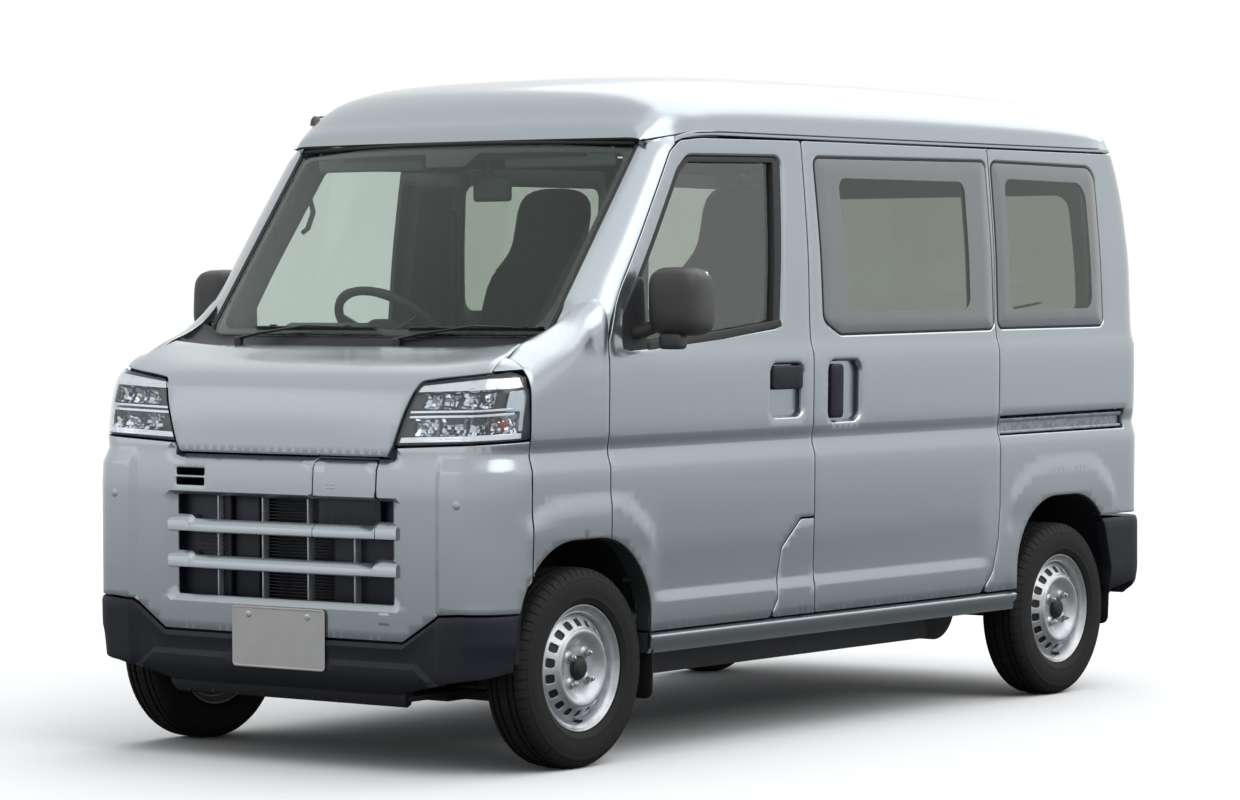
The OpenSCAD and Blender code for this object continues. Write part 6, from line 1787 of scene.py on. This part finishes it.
# Centre stack with its display, dials and the selector, and the two glove box lids
rounded_box(dash, (-118, -1050, 900), (118, -1002, 1078), 10)
rounded_box(dash, (-104, -1006, 985), (104, -996, 1068), 5, mark=1)
rounded_box(dash, (-100, -1008, 912), (100, -994, 972), 6, mark=1)
for x in (-62, 0, 62):
    tube(dash, [(x, -996, 942), (x, -984, 942), (x, -976, 942), (x, -974, 942)], [20, 19, 17, 10], 24, mark=2)
rounded_box(dash, (-90, -1120, 414), (90, -1000, 905), 14)
tube(dash, [(0, -1010, 880), (0, -985, 892), (0, -955, 905)], [16, 12, 11], 14, mark=1)
tube(dash, [(0, -962, 900), (0, -950, 905), (0, -932, 912), (0, -922, 916)], [12, 21, 22, 12], 18, mark=2)
for low, high in ((905, 985), (1000, 1062)):
    rounded_box(dash, (170, -1016, low), (560, -1002, high), 8)
rounded_box(dash, (-470, -1062, 1085), (-240, -1034, 1165), 12, mark=1)
for x in (-415, -300):
    tube(dash, [(x, -1040, 1126), (x, -1030, 1127), (x, -1029, 1127)], [36, 36, 33], 32, mark=2)
    tube(dash, [(x, -1033, 1127), (x, -1028.5, 1127)], [32, 32], 32, mark=1)
# Four air outlets, each with its slats
for x in (-590, -165, 150, 590):
    rounded_box(dash, (x - 40, -1026, 1022), (x + 40, -992 + 10 * (abs(x) > 400), 1078), 8, mark=1)
    for k in range(5):
        rounded_box(dash, (x - 33, -996 + 10 * (abs(x) > 400), 1030 + 9.6 * k),
            (x + 33, -988 + 10 * (abs(x) > 400), 1032.5 + 9.6 * k), 0.8, mark=2)
dash.make("dashboard_moulding", [trim, lamp_black, anodised], "root", "trim", stands_for=["dashboard"],
    sharp=38)

# Rim of one ring, three spokes that dish in to the pad, and the cowled column
wheel_at, tilt = np.array([-350.0, -800.0, 1155.0]), turn_about("X", -42)
helm = Shape()
rings = []
for k in range(73):
    a = 2 * math.pi * k / 72
    out = np.array([math.cos(a), math.sin(a), 0])
    thick = 13.2 + 1.4 * max(0, math.cos(6 * a))
    rings.append([wheel_at + tilt @ (out * (172 + thick * math.cos(b))
            + np.array([0, 0, thick * math.sin(b)])) for b in np.arange(12) * math.pi / 6])
lofted(helm, rings, caps=False)
for a in (90, 205, 335):
    c, s = math.cos(math.radians(a)), math.sin(math.radians(a))
    tube(helm, [wheel_at + tilt @ np.array([r * c, r * s, h]) for r,
            h in ((30, -30), (70, -26), (110, -18), (150, -6), (170, 0))], [26, 24, 17, 13, 11], 12,
        flat=0.45, mark=1)
pad_rings = [[wheel_at + tilt @ np.array([r * bent(math.cos(t), 0.7), 0.82 * r * bent(math.sin(t), 0.7), h])
        for t in np.arange(32) * math.pi / 16] for r, h in ((20, -50), (66, -46), (74, -34), (74, -16),
        (70, -6), (60, -1), (30, 2), (6, 3))]
lofted(helm, pad_rings)
tube(helm, [wheel_at + tilt @ np.array([0, 0, h]) for h in (-40, -60, -90, -180, -255)],
    [38, 44, 48, 52, 52], 20)
for s in (1, -1):
    tube(helm, [wheel_at + tilt @ np.array([x * s, 10, h]) for x,
            h in ((40, -84), (90, -74), (150, -62), (160, -60))], [8, 7, 9, 5], 10, mark=1)
helm.make("steering_wheel_moulding", [trim, lamp_black], "root", "trim", stands_for=["steering_wheel"],
    sharp=40)


# ---------------------------------------------------------------- seats
# Mesh size of the simulated pads, in metres, and the seats' distance from the middle
PAD_GRID, SEAT_X = 0.0095, 350


def swollen(piece, pressure, limit):
    """Blows a closed pad up a little, as foam fills its cover, and smooths it."""
    remesh = piece.modifiers.new("even", "REMESH")
    remesh.mode, remesh.voxel_size = "VOXEL", PAD_GRID
    with bpy.context.temp_override(object=piece, active_object=piece, selected_objects=[piece]):
        bpy.ops.object.modifier_apply(modifier="even")
    before = np.array([v.co[:] for v in piece.data.vertices])
    cloth = piece.modifiers.new("foam", "CLOTH")
    cloth.settings.use_pressure = True
    cloth.settings.uniform_pressure_force = pressure
    cloth.settings.effector_weights.gravity = 0
    cloth.settings.tension_stiffness = cloth.settings.compression_stiffness = 40
    for step in range(1, 13):
        bpy.context.scene.frame_set(step)
    shown = piece.evaluated_get(bpy.context.evaluated_depsgraph_get())
    after = np.array([v.co[:] for v in shown.data.vertices])
    piece.modifiers.remove(cloth)
    bpy.context.scene.frame_set(1)
    move = after - before
    far = np.maximum(np.linalg.norm(move, axis=1), 1e-9)
    after = before + move * (np.minimum(far, limit) / far)[:, None]
    piece.data.vertices.foreach_set("co", after.ravel())


def seat_pad(name, rings, seams, swell):
    """One pad of the right seat from rings of points, and its twin on the left."""
    shape = Shape()
    lofted(shape, rings)
    pad = shape.make(name + "_right", [fabric], "root", "fabric", sharp=180)
    swollen(pad, 4.0, swell / 1000)
    round_it = pad.modifiers.new("round", "SUBSURF")
    round_it.levels = round_it.render_levels = 1
    graph = bpy.context.evaluated_depsgraph_get()
    mesh = bpy.data.meshes.new_from_object(pad.evaluated_get(graph), depsgraph=graph)
    pad.modifiers.remove(round_it)
    pad.data = mesh
    # Sewn channels, pressed in after the cover is full
    points = np.array([v.co[:] for v in mesh.vertices]) * 1000
    normals = np.array([v.normal[:] for v in mesh.vertices])
    depth = np.zeros(len(points))
    for distance in seams:
        depth = np.maximum(depth, 3.0 * np.exp(-((distance(points) / 5.0) ** 2)))
    mesh.vertices.foreach_set("co", ((points - normals * depth[:, None]) / 1000).ravel())
    mesh.shade_smooth()
    twin = bpy.data.objects.new(name + "_left", mesh.copy())
    twin.data.transform(Matrix.Translation((0.7, 0, 0)))
    bpy.context.scene.collection.objects.link(twin)
    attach(twin, "root")
    return pad


def pad_ring(half, thick, place, crown, bolster, turn):
    """Cross-section of a pad: flat-backed, crowned in front, thicker at its side bolsters."""
    out = []
    for k in range(40):
        a = 2 * math.pi * k / 40
        x = half * bent(math.cos(a), 0.62)
        t = thick * bent(math.sin(a), 0.62)
        if math.sin(a) > 0:
            t += crown * (1 - (x / half) ** 2) + bolster * math.exp(
                -(((abs(x) - 0.8 * half) / (0.16 * half)) ** 2))
        out.append(turn(place, x - SEAT_X, t))
    return out


def back_at(z, x, t):
    """A point of the backrest, which leans to the rear."""
    return (x, -205 + (z - 770) * 0.231 - 0.974 * t, z + 0.225 * t)


def cushion_at(y, x, t):
    """A point of the cushion, which rises to its front edge."""
    return (x, y, 728 + 10 * ease(-y, 480, 690) + t)


back_form = [(772, 150, 20), (778, 190, 36), (795, 208, 46), (850, 215, 50), (950, 220, 52), (1080, 224, 50),
    (1200, 224, 46), (1270, 220, 42), (1320, 204, 38), (1352, 178, 36), (1380, 156, 36), (1410, 145, 37),
    (1460, 141, 39), (1510, 138, 38), (1545, 128, 35), (1566, 110, 30), (1578, 84, 22), (1584, 50, 12)]
seat_pad("seat_back", [pad_ring(h, t, z, 6, 12 * (1 - ease(z, 1200, 1340)), back_at) for z, h,
        t in back_form], [lambda p: np.where(p[:, 2] < 1290, np.abs(np.abs(p[:, 0] + SEAT_X) - 140), 99),
        lambda p: np.abs(p[:, 2] - 1345 + 0.12 * np.abs(p[:, 0] + SEAT_X)),
        lambda p: np.where(np.abs(p[:, 0] + SEAT_X) < 140, np.abs(p[:, 2] - 1010), 99)], 9)
cushion_form = [(-696, 170, 24), (-690, 200, 44), (-672, 216, 58), (-620, 222, 64), (-520, 224, 66),
    (-400, 224, 64), (-290, 222, 60), (-236, 216, 54), (-214, 200, 40), (-208, 170, 20)]
seat_pad("seat_cushion", [pad_ring(h, t, y, 8, 12, cushion_at) for y, h, t in cushion_form],
    [lambda p: np.where(p[:, 1] < -280, np.abs(np.abs(p[:, 0] + SEAT_X) - 142), 99),
        lambda p: np.where(p[:, 2] > 760, np.abs(p[:, 1] + 610), 99), lambda p: np.abs(p[:, 2] - 700)], 8)
seat_frame = Shape()
for x in (-SEAT_X, SEAT_X):
    rounded_box(seat_frame, (x - 200, -660, 648.4), (x + 200, -215, 668), 5)
    for s in (1, -1):
        rounded_box(seat_frame, (x + s * 228 - 7, -300, 668), (x + s * 228 + 7, -200, 800), 6)
        tube(seat_frame, [(x + s * 220, -228, 780), (x + s * 238, -228, 780), (x + s * 240, -228, 780)],
            [30, 30, 24], 20)
    # Belt buckle on the inner side
    s = -math.copysign(1, x)
    rounded_box(seat_frame, (x + s * 234 - 10, -296, 790), (x + s * 234 + 10, -262, 852), 5, mark=1)
seat_frame.make("seat_frames", [trim, lamp_black], "root", "trim", stands_for=["seats"], sharp=38)

# ---------------------------------------------------------------- roof trim, mirror, handles and sun visors
top = Shape()
rounded_box(top, (-130, -962, 1556), (30, -900, 1604), 12)
rounded_box(top, (-190, -950, 1572), (-110, -912, 1604), 8)
tube(top, [(-50, -955, 1570), (-50, -964, 1568), (-50, -966, 1568)], [13, 12, 8], 20, mark=1)
tube(top, [(92, -905, 1640), (96, -900, 1600), (100, -892, 1570)], [9, 7, 6], 12)
rounded_box(top, (34, -905, 1520), (166, -884, 1592), 11)
rounded_box(top, (40, -886, 1526), (160, -882, 1586), 3, mark=2)
for s in (1, -1):
    rounded_box(top, (s * 345 - 195, -905, 1612), (s * 345 + 195, -886, 1668), 9, mark=3)
    tube(top, [(s * 555, -880, 1658), (s * 540, -894, 1658), (s * 150, -894, 1658), (s * 146, -894, 1658)],
        [6, 6, 6, 3], 10, mark=3)
    grip = [(s * 634, -985, 1432), (s * 620, -990, 1452), (s * 614, -968, 1488), (s * 610, -940, 1522),
        (s * 616, -916, 1552), (s * 630, -902, 1566)]
    tube(top, grip, [11, 12, 12, 12, 12, 11], 12, flat=0.8)
    tube(top, [(s * 632, -870, 1440), (s * 612, -870, 1452), (s * 608, -850, 1500), (s * 622, -850, 1545)],
        [7, 8, 8, 7], 10)
top.make("cab_roof_fittings", [trim, lamp_black, mirror_glass, pale_trim], "root", "trim", sharp=38)
# Posts behind the seats: a pale trim post on each side, with a flat dark strap along it
posts = Shape()
for s in (1, -1):
    belt = [(s * 642, -196, 700), (s * 636, -196, 1150), (s * 612, -196, 1500), (s * 596, -196, 1600)]
    tube(posts, belt, [24, 24, 24, 24], 12, flat=1.4, mark=0)
    tube(posts, [(s * 604, -216, 1520), (s * 592, -224, 1500), (s * 600, -214, 1300), (s * 616, -210, 980),
            (s * 622, -208, 800)], [4, 12, 12, 12, 5], 8, flat=0.18, mark=1)
posts.make("belt_posts", [pale_trim, lamp_black], "root", "trim", sharp=38)

for name, material in (("underframe", chassis), ("battery_pack", battery_case),
    ("front_suspension", chassis), ("rear_axle", chassis), ("knuckle_left", cast_steel),
    ("knuckle_right", cast_steel)):
    held = frame["nodes"][name]
    for slot in held.material_slots:
        slot.material = material


# ---------------------------------------------------------------- floor, light and camera
def studio_floor():
    """Pale floor: white to the eye with the van's shadow; to other rays it is grey near the van, a painted
    shade for the van's shadow in its reflections.
    """
    material, tree = blank_material("studio_floor_with_painted_shade")
    tree.nodes.remove(tree.nodes["Principled BSDF"])
    place = node(tree, "ShaderNodeTexCoord").outputs["Object"]
    far = node(tree, "ShaderNodeVectorMath", {0: place}, operation="LENGTH")
    # Painted shade: in reflections and bounce light the floor darkens towards the van
    painted_near_shade = node(tree, "ShaderNodeMapRange", {"Value": far.outputs["Value"]}, From_Min=2.0, From_Max=16.0,
        To_Min=0.16, To_Max=0.8)
    lit = node(tree, "ShaderNodeBsdfDiffuse", {"Color": painted_near_shade.outputs["Result"]})
    seen = node(tree, "ShaderNodeBsdfDiffuse")
    seen.inputs["Color"].default_value = (1.0, 1.0, 1.0, 1)
    rays = node(tree, "ShaderNodeLightPath")
    mix = node(tree, "ShaderNodeMixShader", {0: rays.outputs["Is Camera Ray"], 1: lit.outputs[0],
            2: seen.outputs[0]})
    tree.links.new(mix.outputs[0], tree.nodes["Material Output"].inputs["Surface"])
    return material


floor_mesh = bpy.data.meshes.new("floor")
floor_mesh.from_pydata([(-60, -60, 0), (60, -60, 0), (60, 60, 0), (-60, 60, 0)], [], [(0, 1, 2, 3)])
floor_mesh.materials.append(studio_floor())
floor = bpy.data.objects.new("floor", floor_mesh)
bpy.context.scene.collection.objects.link(floor)

world = bpy.data.worlds.new("studio")
world.use_nodes = True
bpy.context.scene.world = world
tree = world.node_tree
sky = tree.nodes["Background"]
sky.inputs["Color"].default_value = srgb("EDF1F5")
sky.inputs["Strength"].default_value = 0.52
white = node(tree, "ShaderNodeBackground", Strength=1.0)
white.inputs["Color"].default_value = srgb("FFFFFF")
rays = node(tree, "ShaderNodeLightPath")
direct = node(tree, "ShaderNodeMath", {0: rays.outputs["Is Camera Ray"],
        1: rays.outputs["Is Transmission Ray"]}, operation="MAXIMUM")
shiny = node(tree, "ShaderNodeMath", {0: direct.outputs[0], 1: rays.outputs["Is Glossy Ray"]},
    operation="MAXIMUM")
seen = node(tree, "ShaderNodeMixShader", {0: shiny.outputs[0], 1: sky.outputs[0], 2: white.outputs[0]})
tree.links.new(seen.outputs[0], tree.nodes["World Output"].inputs["Surface"])


def lamp_at(name, kind, place, target, power, **settings):
    """A lamp at a place, in metres, turned to its target."""
    light = bpy.data.lights.new(name, kind)
    light.energy = power
    for key, value in settings.items():
        setattr(light, key, value)
    lamp = bpy.data.objects.new(name, light)
    lamp.location = place
    lamp.rotation_euler = (Vector(target) - Vector(place)).to_track_quat("-Z", "Y").to_euler()
    bpy.context.scene.collection.objects.link(lamp)


# Three wide soft lamps: over the van's rear, beside it and over its front.
# Two weak boxes fill its front and side.
lamp_at("light_overhead", "SUN", (-0.8, 6.4, 6.8), (0, 0, 0), 1.38, angle=math.radians(66))
lamp_at("light_beside", "SUN", (6.2, 0.2, 6.4), (0, 0, 0), 1.0, angle=math.radians(50))
lamp_at("light_ahead", "SUN", (1.5, -1.6, 7.5), (0, 0, 0), 0.35, angle=math.radians(56))
lamp_at("light_front", "AREA", (-5.0, -7.0, 3.2), (0, -1.2, 0.8), 20, shape="RECTANGLE", size=5.0, size_y=3.5)
lamp_at("light_side", "AREA", (8.0, 3.5, 3.0), (0.7, 0.3, 0.9), 14, shape="RECTANGLE", size=6.0, size_y=3.5)

camera = bpy.data.objects.new("camera", bpy.data.cameras.new("camera"))
camera.data.lens, camera.data.sensor_width = 120.34, 36.0
camera.data.clip_end = 200
camera.location = (7.413, -9.993, 1.295)
AZIMUTH, LOOK_DOWN, ROLL = 37.04, 1.64, -0.19
camera.rotation_euler = (Matrix.Rotation(math.radians(AZIMUTH), 3, "Z")
    @ Matrix.Rotation(math.radians(90 - LOOK_DOWN), 3, "X")
    @ Matrix.Rotation(math.radians(ROLL), 3, "Z")).to_euler()
bpy.context.scene.collection.objects.link(camera)
bpy.context.scene.camera = camera
bpy.context.scene.view_settings.view_transform = "Standard"
